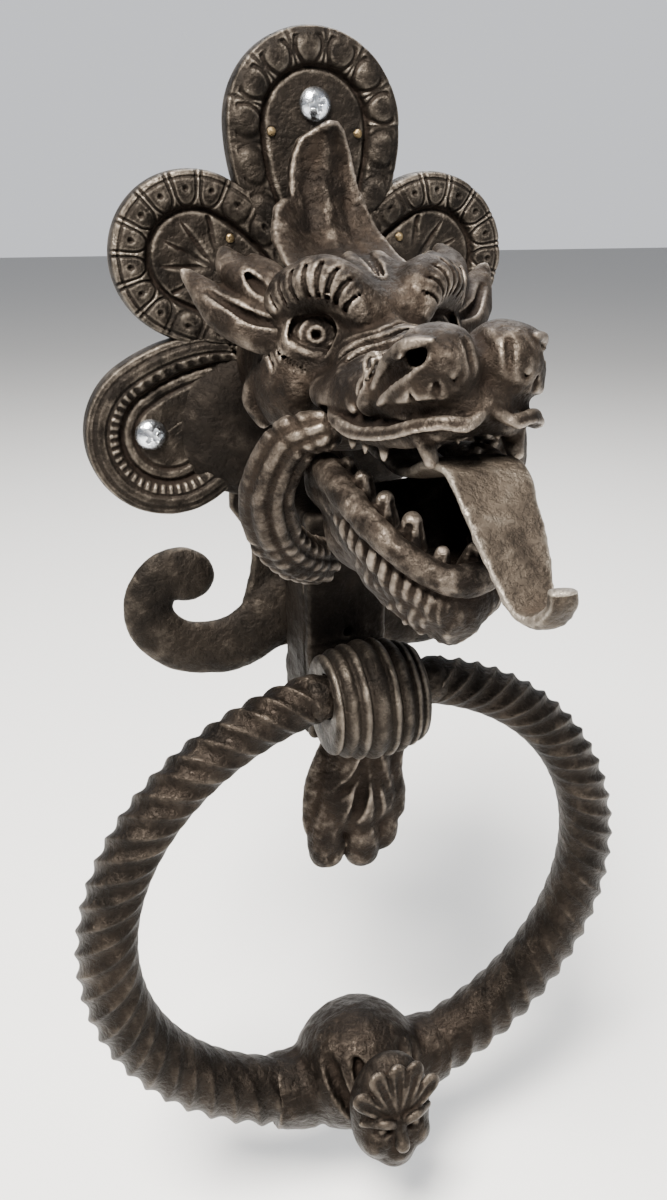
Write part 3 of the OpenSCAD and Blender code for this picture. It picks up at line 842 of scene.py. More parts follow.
def screws():
    """Three screws on their circle: heads in front, threaded shanks behind the plate."""
    t = Tree("threaded shank", "bright_zinc", core=1.75 * MM, reach=24 * MM, point=4 * MM,
             pitch=1.9 * MM)
    turns = t.math("DIVIDE", t.get("reach"), t.get("pitch"))
    core = t.add("GeometryNodeMeshCylinder", Vertices=28, Radius=t.get("core"),
                 Depth=t.math("ADD", t.get("reach"), 5.6 * MM))
    centre = t.math("MULTIPLY", t.math("SUBTRACT", t.get("reach"), 5.6 * MM), -0.5)
    core = t.add("GeometryNodeTransform", Geometry=core,
                 Translation=t.add("ShaderNodeCombineXYZ", Z=centre))
    tip = t.add("GeometryNodeMeshCone", Vertices=28, Radius_Top=0.15 * MM, Radius_Bottom=t.get("core"),
                Depth=t.get("point"))
    low = t.math("MULTIPLY", t.get("reach"), -1.0)
    down = t.add("ShaderNodeCombineXYZ", Z=low)
    tip = t.add("GeometryNodeTransform", Geometry=tip, Translation=down, Rotation=(math.pi, 0, 0))
    spiral = t.add("GeometryNodeCurveSpiral", Resolution=26, Rotations=turns, Start_Radius=t.get("core"),
                   End_Radius=t.get("core"), Height=t.get("reach"))
    spiral = t.add("GeometryNodeTransform", Geometry=spiral, Translation=down)
    ridge = t.add("GeometryNodeCurvePrimitiveCircle", setup={"mode": "RADIUS"}, Resolution=6,
                  Radius=0.5 * MM)
    thread = t.add("GeometryNodeCurveToMesh", Curve=spiral, Profile_Curve=ridge, Fill_Caps=True)
    joined = t.nodes.new("GeometryNodeJoinGeometry")
    for part in (core, tip, thread):
        t.links.new(part, joined.inputs[0])
    shank = small_object("shank_shape", t.grow(joined.outputs[0]))
    head = screw_shape()
    for name, shape, lift in (("screw_heads", head, 5.6), ("screw_shanks", shank, 0)):
        mesh = round_row("bright_zinc", shape, SCREW_CIRCLE, 3, 90, 240)
        mesh.transform(upright() @ Matrix.Translation((0, 0, lift * MM)))
        piece(name, mesh, PLATE, "bright_zinc", ("mount_screws",) if lift else ())
    for shape in (head, shank):
        bpy.data.objects.remove(shape)


def rivets():
    """Four small round-headed brass rivets through the lobes."""
    t = Tree("rivets", "dull_brass", head=1.25 * MM, rise=0.8 * MM, seat=5.5 * MM)
    dome = t.add("GeometryNodeMeshUVSphere", Segments=16, Rings=10, Radius=t.get("head"))
    flat = t.math("DIVIDE", t.get("rise"), t.get("head"))
    dome = t.add("GeometryNodeTransform", Geometry=dome,
                 Scale=t.add("ShaderNodeCombineXYZ", X=1.0, Y=1.0, Z=flat))
    index = t.add("GeometryNodeInputIndex")
    side = t.math("MULTIPLY_ADD", t.math("MODULO", index, 2.0), 2.0, -1.0)
    upper = t.math("GREATER_THAN", index, 1.5)
    x = t.math("MULTIPLY", side, t.math("MULTIPLY_ADD", upper, -12.4 * MM, 24.6 * MM))
    y = t.math("MULTIPLY_ADD", upper, 26.9 * MM, 23.3 * MM)
    spot = t.add("ShaderNodeCombineXYZ", X=x, Y=y, Z=t.get("seat"))
    dots = t.add("GeometryNodePoints", Count=4, Position=spot)
    mesh = t.grow(t.add("GeometryNodeInstanceOnPoints", Points=dots, Instance=dome))
    mesh.transform(upright())
    piece("rivet_heads", mesh, PLATE, "dull_brass", ("lobe_rivets",))


def plate():
    """The sheet and its five lobes."""
    sheet = sheet_and_scrolls()
    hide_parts("backplate")
    lobe("lobe_top", *LOBES["top"])
    for side, tag in ((-1, "left"), (1, "right")):
        for row in ("upper", "lower"):
            kind, x, z, r = LOBES[row]
            lobe("lobe_" + row + "_" + tag, kind, side * x, z, r)


# ------------------------------------------------------------------ head

EYE = np.array((13.8, -46.8, 1.0))
GAZE = np.array((0.3, -0.92, 0.24)) / np.linalg.norm((0.3, -0.92, 0.24))


def head_mass(c):
    """The skull, cheeks, snout, nose pads and the hollow of the mouth."""
    c.add(ball((0, -7, -10), (23, 7, 23)), ball((0, -24, -9), (24, 24, 22)), k=6)
    c.add(ball((0, -40, -3), (22.5, 20, 16)), ball((20.5, -43, -11.5), (8, 12, 10.5)), k=7)
    c.add(ball((0, -46, 7), (13, 14, 8.4)), ball((0, -64, -2.4), (12.6, 16, 7.4)), k=5)
    c.add(ball((0, -86, -5.4), (17.4, 28, 7)), k=5)
    c.add(ball((16, -72, -9), (6, 16, 5)), k=4)
    c.add(ball((6.9, -106, 2.6), (8.3, 9.6, 8.6)), ball((11, -101.5, -2.5), (6, 11, 6.5)), k=2.6)
    c.add(ball((0, -74, -1.6), (6, 16, 5)), k=5)
    c.cut(block((0, -97, -24.6), (32, 34, 11.4), 2), k=1.5)
    c.cut(ball((0, -86, -21), (15.5, 26, 12)), k=1.5)
    c.cut(stick((0, -120, -3), (0, -116.6, 5), 1.2, 1.5),
          stick((0, -116.6, 5), (0, -98, 12.4), 1.5, 0.8), k=1.6)
    c.cut(ball((21, -75.5, -11.4), (2.6, 4.4, 1.4)), k=0.8)


def nose(c):
    """Nostrils with thin rims, the folds between them and puckers over the lip."""
    c.add(ball((11.6, -106.5, 4.8), (4.6, 5, 5)), k=2.4)
    c.add(hoop((12.6, -108.4, 5.4), (0.7, -0.66, 0.3), 3.3, 0.85), k=0.8)
    c.cut(stick((15.6, -112, 6.4), (8.6, -102.5, 3), 2.7, 2.0), k=0.5)
    c.strand([(11.4, -111.8, 8.2), (15.4, -107.4, 7), (17, -101.5, 2.6), (17.6, -96.6, -3)],
             [0.6, 1.0, 1.1, 0.6], k=0.8)
    c.strand([(13.5, -110.5, 2), (16, -105, -1.8), (17.6, -99, -6.4)], [0.9, 1.1, 0.5], k=0.8)
    c.strand([(14.6, -108.4, 3.4), (16.8, -103.4, 0), (18, -98, -4.4)], [1.9, 1.6, 0.6], k=0.35,
             carve=True)
    c.add(hoop((16.6, -93.6, 1.4), (0.86, -0.44, 0.2), 2.2, 0.7), ball((17, -93, -5), (3.2, 4, 4.6)),
          k=1)
    c.strand([(17.2, -95.6, 2.6), (18.8, -94.6, -1), (19.6, -92, -6)], [0.7, 0.8, 0.5], k=0.6)
    c.cut(stick((19.6, -94.6, 2), (13.6, -92.4, 0.6), 1.5, 1.2), k=0.35)
    c.strand([(18.6, -94, -0.6), (19.6, -92.4, -3.8), (19.8, -90.6, -7)], [1.0, 1.3, 0.6], k=0.6,
             carve=True)
    for x, y in ((3.6, -116), (7, -115.6), (10.6, -113), (13.6, -108.6)):
        c.cut(stick((x, y, 1.5), (x + 0.8, y - 1, -5), 0.3, 0.9), k=1)
    c.strand([(3, -115.4, -3), (3.6, -116, 2), (4.6, -113, 8)], [0.3, 0.7, 0.3], k=1, carve=True)
    c.strand([(8, -114.4, 1), (9, -112, 7)], [0.3, 0.6], k=1, carve=True)
    c.strand([(6, -116, -4.4), (12.6, -111, -5.4), (16.8, -103.6, -7.4), (19, -95, -8.6)],
             [0.4, 0.8, 0.8, 0.4], k=2, carve=True)
    for z in (4.6, 2.2):
        c.strand([(3, -92, z + 1), (9, -93, z - 1.6), (12, -96, z - 2)], [0.3, 0.5, 0.3], k=0.8,
                 carve=True)


def lip_and_teeth(c):
    """The thin wavy edge of the upper lip, the gum and a row of pointed teeth."""
    edge = [(19.6, -75, -11), (20.6, -79, -11.6), (21, -84, -12.2), (20.4, -90, -12.8),
            (18.8, -97, -12.2), (16.6, -103.6, -10.8), (13.6, -109.4, -8.6), (9.6, -113.6, -7.4),
            (4.8, -115.6, -7.6), (1.6, -114.4, -6), (0, -113.2, -5)]
    c.strand(edge, [0.4, 0.6, 0.8, 0.7, 0.8, 0.7, 0.8, 0.8, 0.7, 0.7, 0.6], k=1.2)
    c.strand([(x + 0.9, y - 0.9, z - 0.9) for x, y, z in edge],
             [0.25, 0.4, 0.5, 0.5, 0.55, 0.5, 0.5, 0.5, 0.5, 0.45, 0.4], k=0.4)
    gum = [(16.6, -74, -12), (16.8, -84, -13), (15.4, -93, -13.2), (12.4, -102, -12), (7.4, -108.6, -10),
           (0, -110, -9)]
    c.strand(gum, [2.2, 2.3, 2.2, 2.1, 1.8, 1.5], k=1.6)
    for x, y, z, r, long in ((17.4, -76.5, -12, 1.8, 4.2), (17.3, -82.5, -13, 2, 5),
                             (16.6, -89, -13.4, 2, 4.6), (14.8, -95.5, -13.2, 2.1, 5),
                             (4.2, -109.5, -9.6, 1.7, 3.2)):
        c.add(stick((x, y, z + 1.5), (x + 0.3, y - 0.8, z - long), r, 0.5), k=0.5)
    c.add(stick((10.4, -104.5, -9), (9.6, -108.6, -16), 3.3, 1.9, ((0.4, 0.9, 0), 1.5)), k=0.7)


def eyelid(lift, reach, away, middle=0.0):
    """Points that hug the eyeball from the nose's side outward, lifted by an angle at the middle."""
    side = np.cross((0, 0, 1), -GAZE)
    side /= np.linalg.norm(side)
    up = np.cross(GAZE, side) * -1
    side, up = side * 0.97 - up * 0.24, up * 0.97 + side * 0.24
    points = []
    for t in np.linspace(-1, 1, 9):
        a, b = math.radians(reach * t), math.radians(middle + lift * (1 - t * t) ** 0.8)
        level = GAZE * math.cos(a) * math.cos(b) + side * math.sin(a) * math.cos(b)
        points.append(EYE + away * (level + up * math.sin(b)))
    return points


def eyes(c):
    """Deep sockets, ringed eyeballs, almond lids and notched brows."""
    c.add(ball((14.5, -45, 1), (11, 10.4, 11.6)), k=4)
    c.cut(ball(EYE + GAZE * 4.6, 7.3), k=0.8)
    c.add(ball(EYE, 8.2), k=0.2)
    front = EYE + GAZE * 7.9
    c.add(hoop(front - GAZE * 0.8, GAZE, 3.9, 0.55), k=0.35)
    c.add(hoop(front - GAZE * 0.1, GAZE, 1.9, 0.45), k=0.35)
    c.cut(stick(front + GAZE * 2, front - GAZE * 1.2, 1.2, 0.9), k=0.25)
    ends = [0.6, 1.1, 1.35, 1.5, 1.55, 1.5, 1.35, 1.1, 0.6]
    c.strand(eyelid(44, 72, 9.0), ends, k=0.4)
    c.strand(eyelid(-34, 72, 9.0), ends, k=0.4)
    c.strand(eyelid(-50, 80, 10.6, -4), [v * 0.7 for v in ends], k=0.6, carve=True)
    c.strand(eyelid(-64, 88, 11.4, -5), [v * 1.1 for v in ends], k=0.8)
    c.strand(eyelid(-76, 90, 13, -7), [v * 0.8 for v in ends], k=0.7, carve=True)
    c.strand(eyelid(-86, 92, 13.6, -10), ends, k=1)
    brow = np.array([(24, -42.6, 5.8), (22.2, -47, 10.8), (19, -52, 14.2), (14.6, -56, 15.4),
                     (10.4, -59.6, 13), (7.6, -63, 7.6)])
    c.strand(brow + (-1.6, 2.4, -0.6), [2.4, 4, 4.6, 4.6, 4, 2.4], k=3)
    c.strand(brow, [1.2, 2.6, 3.3, 3.5, 3, 1.6], k=1.4)
    spine = bend(brow, 2)
    along = np.gradient(spine, axis=0)
    thick = np.interp(np.linspace(0, 1, len(spine)), np.linspace(0, 1, 6), [1.2, 2.6, 3.3, 3.5, 3, 1.6])
    for i in range(1, len(spine) - 1):
        c.cut(hoop(spine[i], along[i] + (0.5, 0, 0.3 * i - 1.5), thick[i] * 1.12, 0.42), k=0.9)
    c.strand([(27, -42, 2), (25.6, -45, -1), (27.4, -42, -4)], [0.4, 0.8, 0.4], k=0.8, carve=True)
    c.strand([(25.6, -42, 4.6), (24.6, -45.6, 1.6)], [0.4, 0.8], k=0.8, carve=True)


def forehead(c):
    """Creases between the brows and the swell where the crest grows out."""
    c.add(ball((0, -44, 13), (13, 10, 6.4)), ball((0, -53, 8), (9, 10, 5.6)), k=4)
    c.strand([(4.4, -60, 9), (5, -51, 15.6), (3.4, -42, 20)], [1, 1.5, 1.2], k=2)
    c.strand([(0.4, -58, 13), (0.8, -50, 18.4), (0.6, -44, 21)], [0.3, 0.5, 0.3], k=1.2, carve=True)
    c.strand([(0, -68, 3), (0, -58, 9.6)], [1, 1.3], k=2)
    for y, z in ((-68, 5.6), (-73, 4.6), (-78, 4), (-84, 3)):
        c.strand([(0, y, z + 0.6), (6, y - 2, z), (11, y + 3, z - 2.6), (15, y + 8, z - 7)],
                 [0.4, 0.9, 0.8, 0.3], k=1, carve=True)
    c.strand([(12, -66, -2), (16, -73, -3.4), (18, -81, -5.4), (19, -88, -9)], [0.6, 1.2, 1.2, 0.6], k=1)
    c.strand([(13, -64, -5), (17.6, -72, -6.4), (19.6, -79, -9)], [0.5, 0.9, 0.4], k=0.8, carve=True)
    c.strand([(26.5, -40, -6), (29, -38, -14), (26, -40, -21)], [0.4, 1, 0.4], k=2.5)


def head():
    """The beast's head in one forging, with its eyes, brows, snout, lip and upper teeth."""
    c = Clay((0, -122, -35), (36, -1, 30), FINE, mirrored=True)
    head_mass(c)
    eyes(c)
    forehead(c)
    nose(c)
    lip_and_teeth(c)
    c.cut(block((0, 4, -10), (60, 7.1, 60), 0.1), k=0.3)
    carved("head_forging", c, PLATE, "head_iron", "worn_iron", ("head_shell",), lump=0.16, lump_size=9,
           seed=7)


def ears():
    """Leaf-shaped ears of three points, hollowed along each point."""
    c = Clay((15, -54, -4), (47, -14, 26), FINE)
    flat = ((0.25, 0.86, -0.45), 1.9)
    c.strand([(19, -46, 3), (27, -41, 4.4), (34, -34, 7.6), (42, -26.4, 16.4)], [6, 6.6, 5.4, 0.8],
             k=1.5, flat=flat)
    c.strand([(19, -44, 8), (24.6, -38, 13), (29.4, -29, 16.6), (30, -21, 21)], [5, 5, 4.2, 0.8], k=1.5,
             flat=flat)
    c.strand([(20, -42, 12), (23, -36, 16), (24.4, -28, 19.6)], [4, 3.4, 0.7], k=1.4, flat=flat)
    for path in ([(23, -49, 5), (30, -43.8, 6.4), (37.6, -34.2, 11.8)],
                 [(22, -48.4, 10), (27, -41.8, 13.6), (29.4, -30.4, 18.4)]):
        c.strand(path, [0.3, 1.1, 0.3], k=1.2, carve=True)
    c.strand([(20, -49, -1), (28, -44.6, 1.4), (36, -35.4, 6)], [0.8, 1.2, 0.6], k=1.2)
    pair("ear", "_leaf", c, "head_iron", "worn_iron", lump=0.1, seed=9)


CREST = [(-3.4, 51.4), (-1, 52.6), (1.4, 52.4), (3.8, 49.9), (5.4, 45.7), (6.4, 41), (7.2, 37),
         (8.5, 32), (10.4, 26), (12.4, 21), (14, 15), (11, 10), (-12, 10), (-17.4, 13.4), (-19.6, 18.6),
         (-20, 23.4), (-18.8, 28), (-16.6, 31.6), (-14, 33.6), (-12, 33.8), (-11.6, 36), (-11.2, 40.4),
         (-10.4, 44.1), (-8.4, 48)]


def crest():
    """The crest: a cut-out blade that rises in front of the top lobe, its tip leaning forward."""
    shape, _, _ = outline_slab(CREST, -2.1, 2.1, 0.9)

    def sweep(x, z):
        lean = -15.5 - 21 * np.exp(-(z - 18) / 7.5)
        scoop = 0.016 * (x + 3) ** 2 - 3.0 * np.exp(-((z - 54) / 4.0) ** 2)
        rib = -1.4 * np.exp(-((x + 2.4 - 0.05 * (z - 30)) / 2.2) ** 2)
        roll = -4.5 * np.exp(-((x + 17) / 5.5) ** 2 - ((z - 24) / 8) ** 2)
        tip = -4.6 * np.exp(-((z - 53) / 3.6) ** 2)
        crease = 0.9 * np.exp(-((x - 3.4 - 0.02 * (z - 30)) / 1.3) ** 2)
        crease = crease + 0.7 * np.exp(-((x + 7.4) / 1.4) ** 2)
        return lean - scoop * 0.6 + rib + roll + tip + crease * np.exp(-((z - 28) / 15) ** 2)

    def distance(x, y, z):
        return shape(x, y - sweep(x, z), z) * 0.72
    c = Clay((-23, -60, 8), (18, -8, 56), FINE)
    c.add((distance, np.array((-22, -60, 9)), np.array((17, -8, 55))), k=0.3)
    c.add(ball((-2, -41, 13), (13, 8, 7)), k=5)
    carved("crest_blade", c, PLATE, "head_iron", "worn_iron", ("crest_leaf",), lump=0.2, lump_size=8,
           seed=12)


def cheek_folds():
    """A roll of skin from the mouth's corner round to the neck, grooved along and wrinkled below."""
    path = bend([(20, -73, -16), (27, -67, -20), (31, -60, -32), (28, -53, -45), (20, -45, -55),
                 (10, -36, -61)], 10)
    tangent = np.gradient(path, axis=0)
    tangent /= np.linalg.norm(tangent, axis=1)[:, None]
    out = np.cross(tangent, np.cross(path - np.array((6, -50, -36)), tangent))
    out /= np.linalg.norm(out, axis=1)[:, None]
    over = np.cross(tangent, out)
    at = np.linspace(0, 1, len(path))
    girth = np.interp(at, [0, 0.2, 0.5, 0.8, 1], [4.6, 6, 6.6, 6.4, 6])
    c = Clay((0, -82, -72), (42, -26, -8), FINE)
    for i in range(len(path) - 1):
        c.add(stick(path[i], path[i + 1], girth[i] * 0.74, girth[i + 1] * 0.74), k=1)
    for turn in (-125, -78, -30, 16, 62, 110, 158):
        spin = math.radians(turn) + 0.9 * at
        rim = path + (np.cos(spin) * girth * 0.72)[:, None] * out
        rim = rim + (np.sin(spin) * girth * 0.72)[:, None] * over
        radius = girth * (0.34 + 0.06 * math.sin(turn))
        for i in range(len(path) - 1):
            c.add(stick(rim[i], rim[i + 1], radius[i], radius[i + 1]), k=0.35)
    for i in range(31, len(path) - 2, 3):
        slant = tangent[i] + 0.25 * out[i]
        c.cut(hoop(path[i], slant, girth[i] * 1.14, 1.1), k=1.2)
    for i in (5, 9):
        c.cut(hoop(path[i], tangent[i] + 0.5 * over[i], girth[i] * 1.14, 0.8), k=1)
    pair("cheek_fold", "_roll", c, "head_iron", "patinated_iron", lump=0.15, seed=15)


def jaw():
    """The lower jaw: a scooped trough with a rim, blunt teeth and a beard of wavy strands."""
    c = Clay((0, -116, -66), (29, -52, -14), FINE, mirrored=True)
    c.add(ball((0, -84, -44), (16, 21, 13), (16, 0, 0)), ball((0, -68, -42), (18, 14, 13)), k=4)
    c.add(stick((16, -62, -32), (17.4, -82, -31), 6, 4.6), k=4)
    rim = [(17, -60, -29), (19.6, -74, -26.4), (19.6, -85, -28.8), (17.6, -94, -33), (14, -101, -37),
           (9, -105.4, -41), (4, -107.6, -43.2), (0, -108, -43.6)]
    c.strand(rim, [4, 3.2, 2.5, 2.3, 2.2, 2.2, 2.2, 2.2], k=2)
    c.cut(ball((0, -84, -30), (14, 23, 12), (24, 0, 0)), ball((0, -68, -25), (13, 16, 12)), k=1.6)
    c.strand([(x + 1.1, y - 0.6, z + 1.2) for x, y, z in rim], [0.8] * 8, k=0.6)
    for x, y, z, r, long in ((16, -75, -24.6, 3.6, 0.6), (15.2, -83, -26.8, 4, 1.2),
                             (13, -90.6, -31, 4.2, 2.2), (9.4, -97.4, -36, 4.6, 3.6),
                             (3.6, -101, -40, 3.2, 1.0)):
        c.add(stick((x, y, z - 3), (x + 0.2, y - 1.4, z + long), r, r * 0.6, ((0.75, 0.66, 0), 1.15)),
              k=1)
        c.cut(stick((x + 2.6, y - 3, z - 2), (x + 1.6, y - 3.4, z + long), 0.8, 0.6), k=1)
        c.cut(stick((x - 2, y - 3, z - 2), (x - 1, y - 3, z + long), 0.6, 0.4), k=1)
    c.cut(stick((2, -94, -50), (2, -93, -36), 0.8, 0.8), k=0.2)
    beard(c)
    c.cut(block((0, -50, -40), (60, 3, 60), 0.1), k=0.3)
    carved("jaw_forging", c, PLATE, "head_iron", "worn_iron", ("lower_jaw",), lump=0.16, lump_size=8,
           seed=18)


def beard(c):
    """Strands of beard that hang from the jaw's rim, sweep back and curl at the chin."""
    roots = bend([(19.8, -76, -28.6), (19.6, -84, -30.8), (17.8, -92.6, -34.6), (14, -100, -38.8),
                  (9, -104.4, -42.8), (4, -106.6, -45), (0.6, -107, -45.6)], 5)
    for i, p in enumerate(roots):
        t = i / (len(roots) - 1)
        drop = 14.5 + 1.5 * math.sin(i * 2.4)
        wave = 0.9 * (-1) ** i
        end = p + np.array((-5 + 3.5 * t, 9 - 3 * t, -drop))
        way = end - p
        mid_a, mid_b = p + way * 0.35 + (wave + 1.1, -2.2, 0), p + way * 0.7 + (0.9 - wave, -2.1, 0)
        c.strand([p + (-0.6, 0.4, 1.6), mid_a, mid_b, end], [0.6, 1.5, 1.35, 0.5], k=0.3, count=6)
        c.strand([p + (-0.8, 1.4, 0), p + way * 0.5 + (0, 1.4, 0), end + (0, 1.8, 1)], [1.2, 2.4, 1.2],
                 k=1.4, count=3)
    for i, p in enumerate(bend([(14, -92, -46), (10, -97, -51.6), (5, -99, -55.6), (0.8, -99, -57)], 3)):
        curl = p + np.array((0.4 * (-1) ** i, 2.4, -1.8))
        c.add(hoop(curl, (0.8, 0.3 * (-1) ** i, 0.3), 1.6, 0.9), ball(curl, 1.0), k=0.5)


def tongue():
    """A long blade that runs forward out of the mouth, drops and turns up at its tip."""
    path = [(-52, -22), (-84, -24), (-103, -19), (-113, -18.8), (-119, -22.5), (-127, -30.5),
            (-135.5, -40), (-142, -40.2), (-146.6, -36), (-146.9, -32.6)]
    width = [w * 9 for w in (0.7, 0.85, 1, 1, 0.97, 0.83, 0.54, 0.42, 0.36, 0.3)]
    points, faces, at = leaf([(0, y, z) for y, z in path], width,
                             [4, 4, 3.4, 3.2, 3, 2.8, 2.8, 3, 3, 3.2],
                             [0, 0.5, -0.6, -1.2, -0.9, -0.8, -0.6, -0.3, 0, 0], across=56, along=18)
    mesh = make_mesh("tongue_blade", points, faces)
    n = np.zeros(len(points) * 3)
    mesh.vertex_normals.foreach_get("vector", n)
    rough = np.clip((at - 0.35) * 4, 0, 1) * (at < 0.85)
    bumps = 0.18 * wobble(points, 8, 21) + 0.16 * rough * np.minimum(wobble(points, 2.2, 22), 0.2)
    mesh.vertices.foreach_set("co", ((points + n.reshape(-1, 3) * bumps[:, None]) * MM).ravel())
    mesh.update()
    piece("tongue_blade", mesh, PLATE, "tongue_iron", ("tongue",))


# ------------------------------------------------------ neck, eye, leaf

def neck():
    """The square bar below the head, with a small hole and two shallow cuts."""
    c = Clay((-15, -33, -123), (15, 0, -45), MEDIUM)
    c.add(block((0, -16, -85), (12, 12.9, 35), 1.6), k=0.3)
    c.cut(stick((0, -36, -86.3), (0, -22, -86.3), 1.3, 1.3), k=0.3)
    c.cut(block((0, -29.6, -89.6), (13, 1.2, 0.5), 0.3), k=0.6)
    c.strand([(-11.8, -24, -50), (-12, -24.6, -120)], [0.6, 0.6], k=0.8, carve=True)
    carved("neck_bar", c, PLATE, "petal_iron", "dark_iron", ("neck_box",), lump=0.3, lump_size=13,
           seed=24)


def ring_eye():
    """The rolled eye: a bored barrel whose band is gathered into ribs of uneven width."""
    ribs = [(-14, 1.0), (-11.6, 1.7), (-7.2, 1.2), (-4.2, 1.9), (1.6, 1.3), (4.4, 1.8), (8.8, 1.2),
            (11.4, 1.0)]
    edges = [a for a, _ in ribs] + [13.9]
    outer = []
    for i in range(len(ribs)):
        a, b = edges[i], edges[i + 1]
        for t in np.linspace(0, 1, 9)[:-1]:
            x = a + (b - a) * t
            crown = 16.9 - 0.017 * x * x
            outer.append((x, crown - ribs[i][1] * (1 - math.sin(math.pi * t) ** 0.7)))
    outer.append((13.9, 13.2))
    bore = [(13.9, 6.6), (13.4, 6.25), (0, 6.25), (-13.5, 6.25), (-14, 6.6)]
    profile = [(-14, 12.6)] + outer[1:] + bore
    count = 120
    ang = 2 * math.pi * np.arange(count) / count
    points = np.array([(a, r * math.cos(t), r * math.sin(t)) for a, r in profile for t in ang])
    lift = np.array([0.0 if r < 7 else 1.0 for a, r in profile for _ in ang])
    uneven = 0.012 * np.sin(2 * np.tile(ang, len(profile)) + 0.4) + 0.01 * wobble(points, 9, 31)
    wave = 1 + lift * uneven
    points[:, 1:] *= wave[:, None]
    inner = np.array([4.0 if r < 7 else 0.0 for a, r in profile for _ in ang])
    points[:, 1] -= inner
    points[:, 2] += inner * 1.15
    rows = len(profile)
    faces = []
    for i in range(rows):
        for j in range(count):
            k, m = (j + 1) % count, (i + 1) % rows
            faces.append((i * count + j, i * count + k, m * count + k, m * count + j))
    points += np.array((0, -46.1, -99.8))
    mesh = make_mesh("eye_barrel", points, faces)
    piece("eye_barrel", mesh, PLATE, "plate_iron", ("ring_eye",))


def leaf_drop():
    """The four-toed leaf under the eye."""
    c = Clay((-20, -46, -166), (20, -24, -107), FINE)
    flat = ((0, 1, 0), 1.5)
    c.strand([(0, -36, -112), (0, -34.6, -124), (0, -34, -138)], [7.4, 9, 12.4], k=2, flat=flat)
    toes = [((-6, -35, -128), (-9.6, -35.4, -143), (-9.8, -35.6, -154.6), 5.4, 5.5),
            ((-1, -35, -128), (1, -36.6, -145), (1.4, -36, -156.4), 5.2, 5.4),
            ((4, -35, -126), (8.6, -35, -142), (8.6, -34.6, -153.6), 4.4, 4.6),
            ((6, -34.4, -118), (11.4, -34, -133), (12.4, -34, -145), 4, 4)]
    for a, b, e, r, tip in toes:
        c.strand([a, b, e], [r * 0.55, r * 0.95, tip], k=0.9, flat=((0, 1, 0), 1.15))
    c.strand([(6, -34, -114), (11.6, -33.6, -122), (12, -33.4, -131)], [3.4, 3.6, 3], k=1.2, flat=flat)
    c.strand([(-7, -34, -118), (-12, -34, -132), (-13.2, -34.4, -146)], [3, 3.6, 3.2], k=1, flat=flat)
    c.cut(ball((-9.8, -41.2, -154), (1.4, 1.2, 1.6)), k=0.8)
    for x, z in ((-5.2, -150), (-1.6, -140), (5.4, -149), (10.4, -140), (-10, -134)):
        c.strand([(3, -39.6, -117), (x * 0.4 + 2, -41.4, -128), (x, -41.8, z)], [0.3, 0.6, 0.8], k=2.2,
                 carve=True)
    carved("leaf_paw", c, PLATE, "head_iron", "patinated_iron", ("leaf_drop",), lump=0.2, lump_size=8,
           seed=33)


# ------------------------------------------------------------------ ring

def ring_place():
    """From the ring's flat drawing (its hinge at the origin) to where it hangs at rest."""
    return Matrix.Translation(HINGE * MM) @ Matrix.Rotation(RING_LEAN, 4, "X")


def ring_halves():
    """The two twisted bars, each with its plain journal as a piece of its own."""
    for hand, name in ((1, "ring_right"), (-1, "ring_left")):
        mesh = rope_bar()
        down = Matrix.Translation((0, 0, -RING_DROP * MM)) @ upright()
        down = down @ Matrix.Rotation(math.pi / 2, 4, "Z")
        mesh.transform(down)
        if hand > 0:
            mesh.transform(MIRROR)
            mesh.flip_normals()
        journal, faces = turned([(12.2, 5.2), (12.4, 5.9), (14.4, 5.95), (17.2, 6.9), (19.8, 6.6),
                                 (20.2, 5)], 48)
        stub = make_mesh(name + "_journal", [(-hand * -a, y, z) for a, y, z in journal],
                         faces if hand > 0 else [f[::-1] for f in faces])
        worn_inside(mesh)
        mesh.transform(ring_place())
        stub.transform(ring_place())
        piece(name + "_twist", mesh, RING, "ring_iron", (name,))
        piece(name + "_stub", stub, RING, "ring_iron")


def worn_inside(mesh):
    """The twist dies away toward the inside of the ring, where the bar is smooth."""
    p = np.zeros(len(mesh.vertices) * 3)
    mesh.vertices.foreach_get("co", p)
    p = p.reshape(-1, 3) / MM
    up = p[:, 2] + RING_DROP
    far = np.hypot(p[:, 0], up)
    girth = np.interp(np.degrees(np.arctan2(np.abs(p[:, 0]), up)),
                      [BAR_FROM, BAR_FROM + BAR_TURN], [BAR_THIN, BAR_THICK])
    inward = far - RING_R
    radius = np.maximum(np.hypot(inward, p[:, 1]), 1e-6)
    calm = np.clip((-inward / radius - 0.3) * 1.5, 0, 0.9) * (radius > girth * 0.5)
    grown = 1 + calm * (girth * 0.93 / radius - 1)
    near = RING_R + inward * grown
    p[:, 0] *= near / far
    p[:, 2] = up * near / far - RING_DROP
    p[:, 1] *= grown
    mesh.vertices.foreach_set("co", (p * MM).ravel())
    mesh.update()


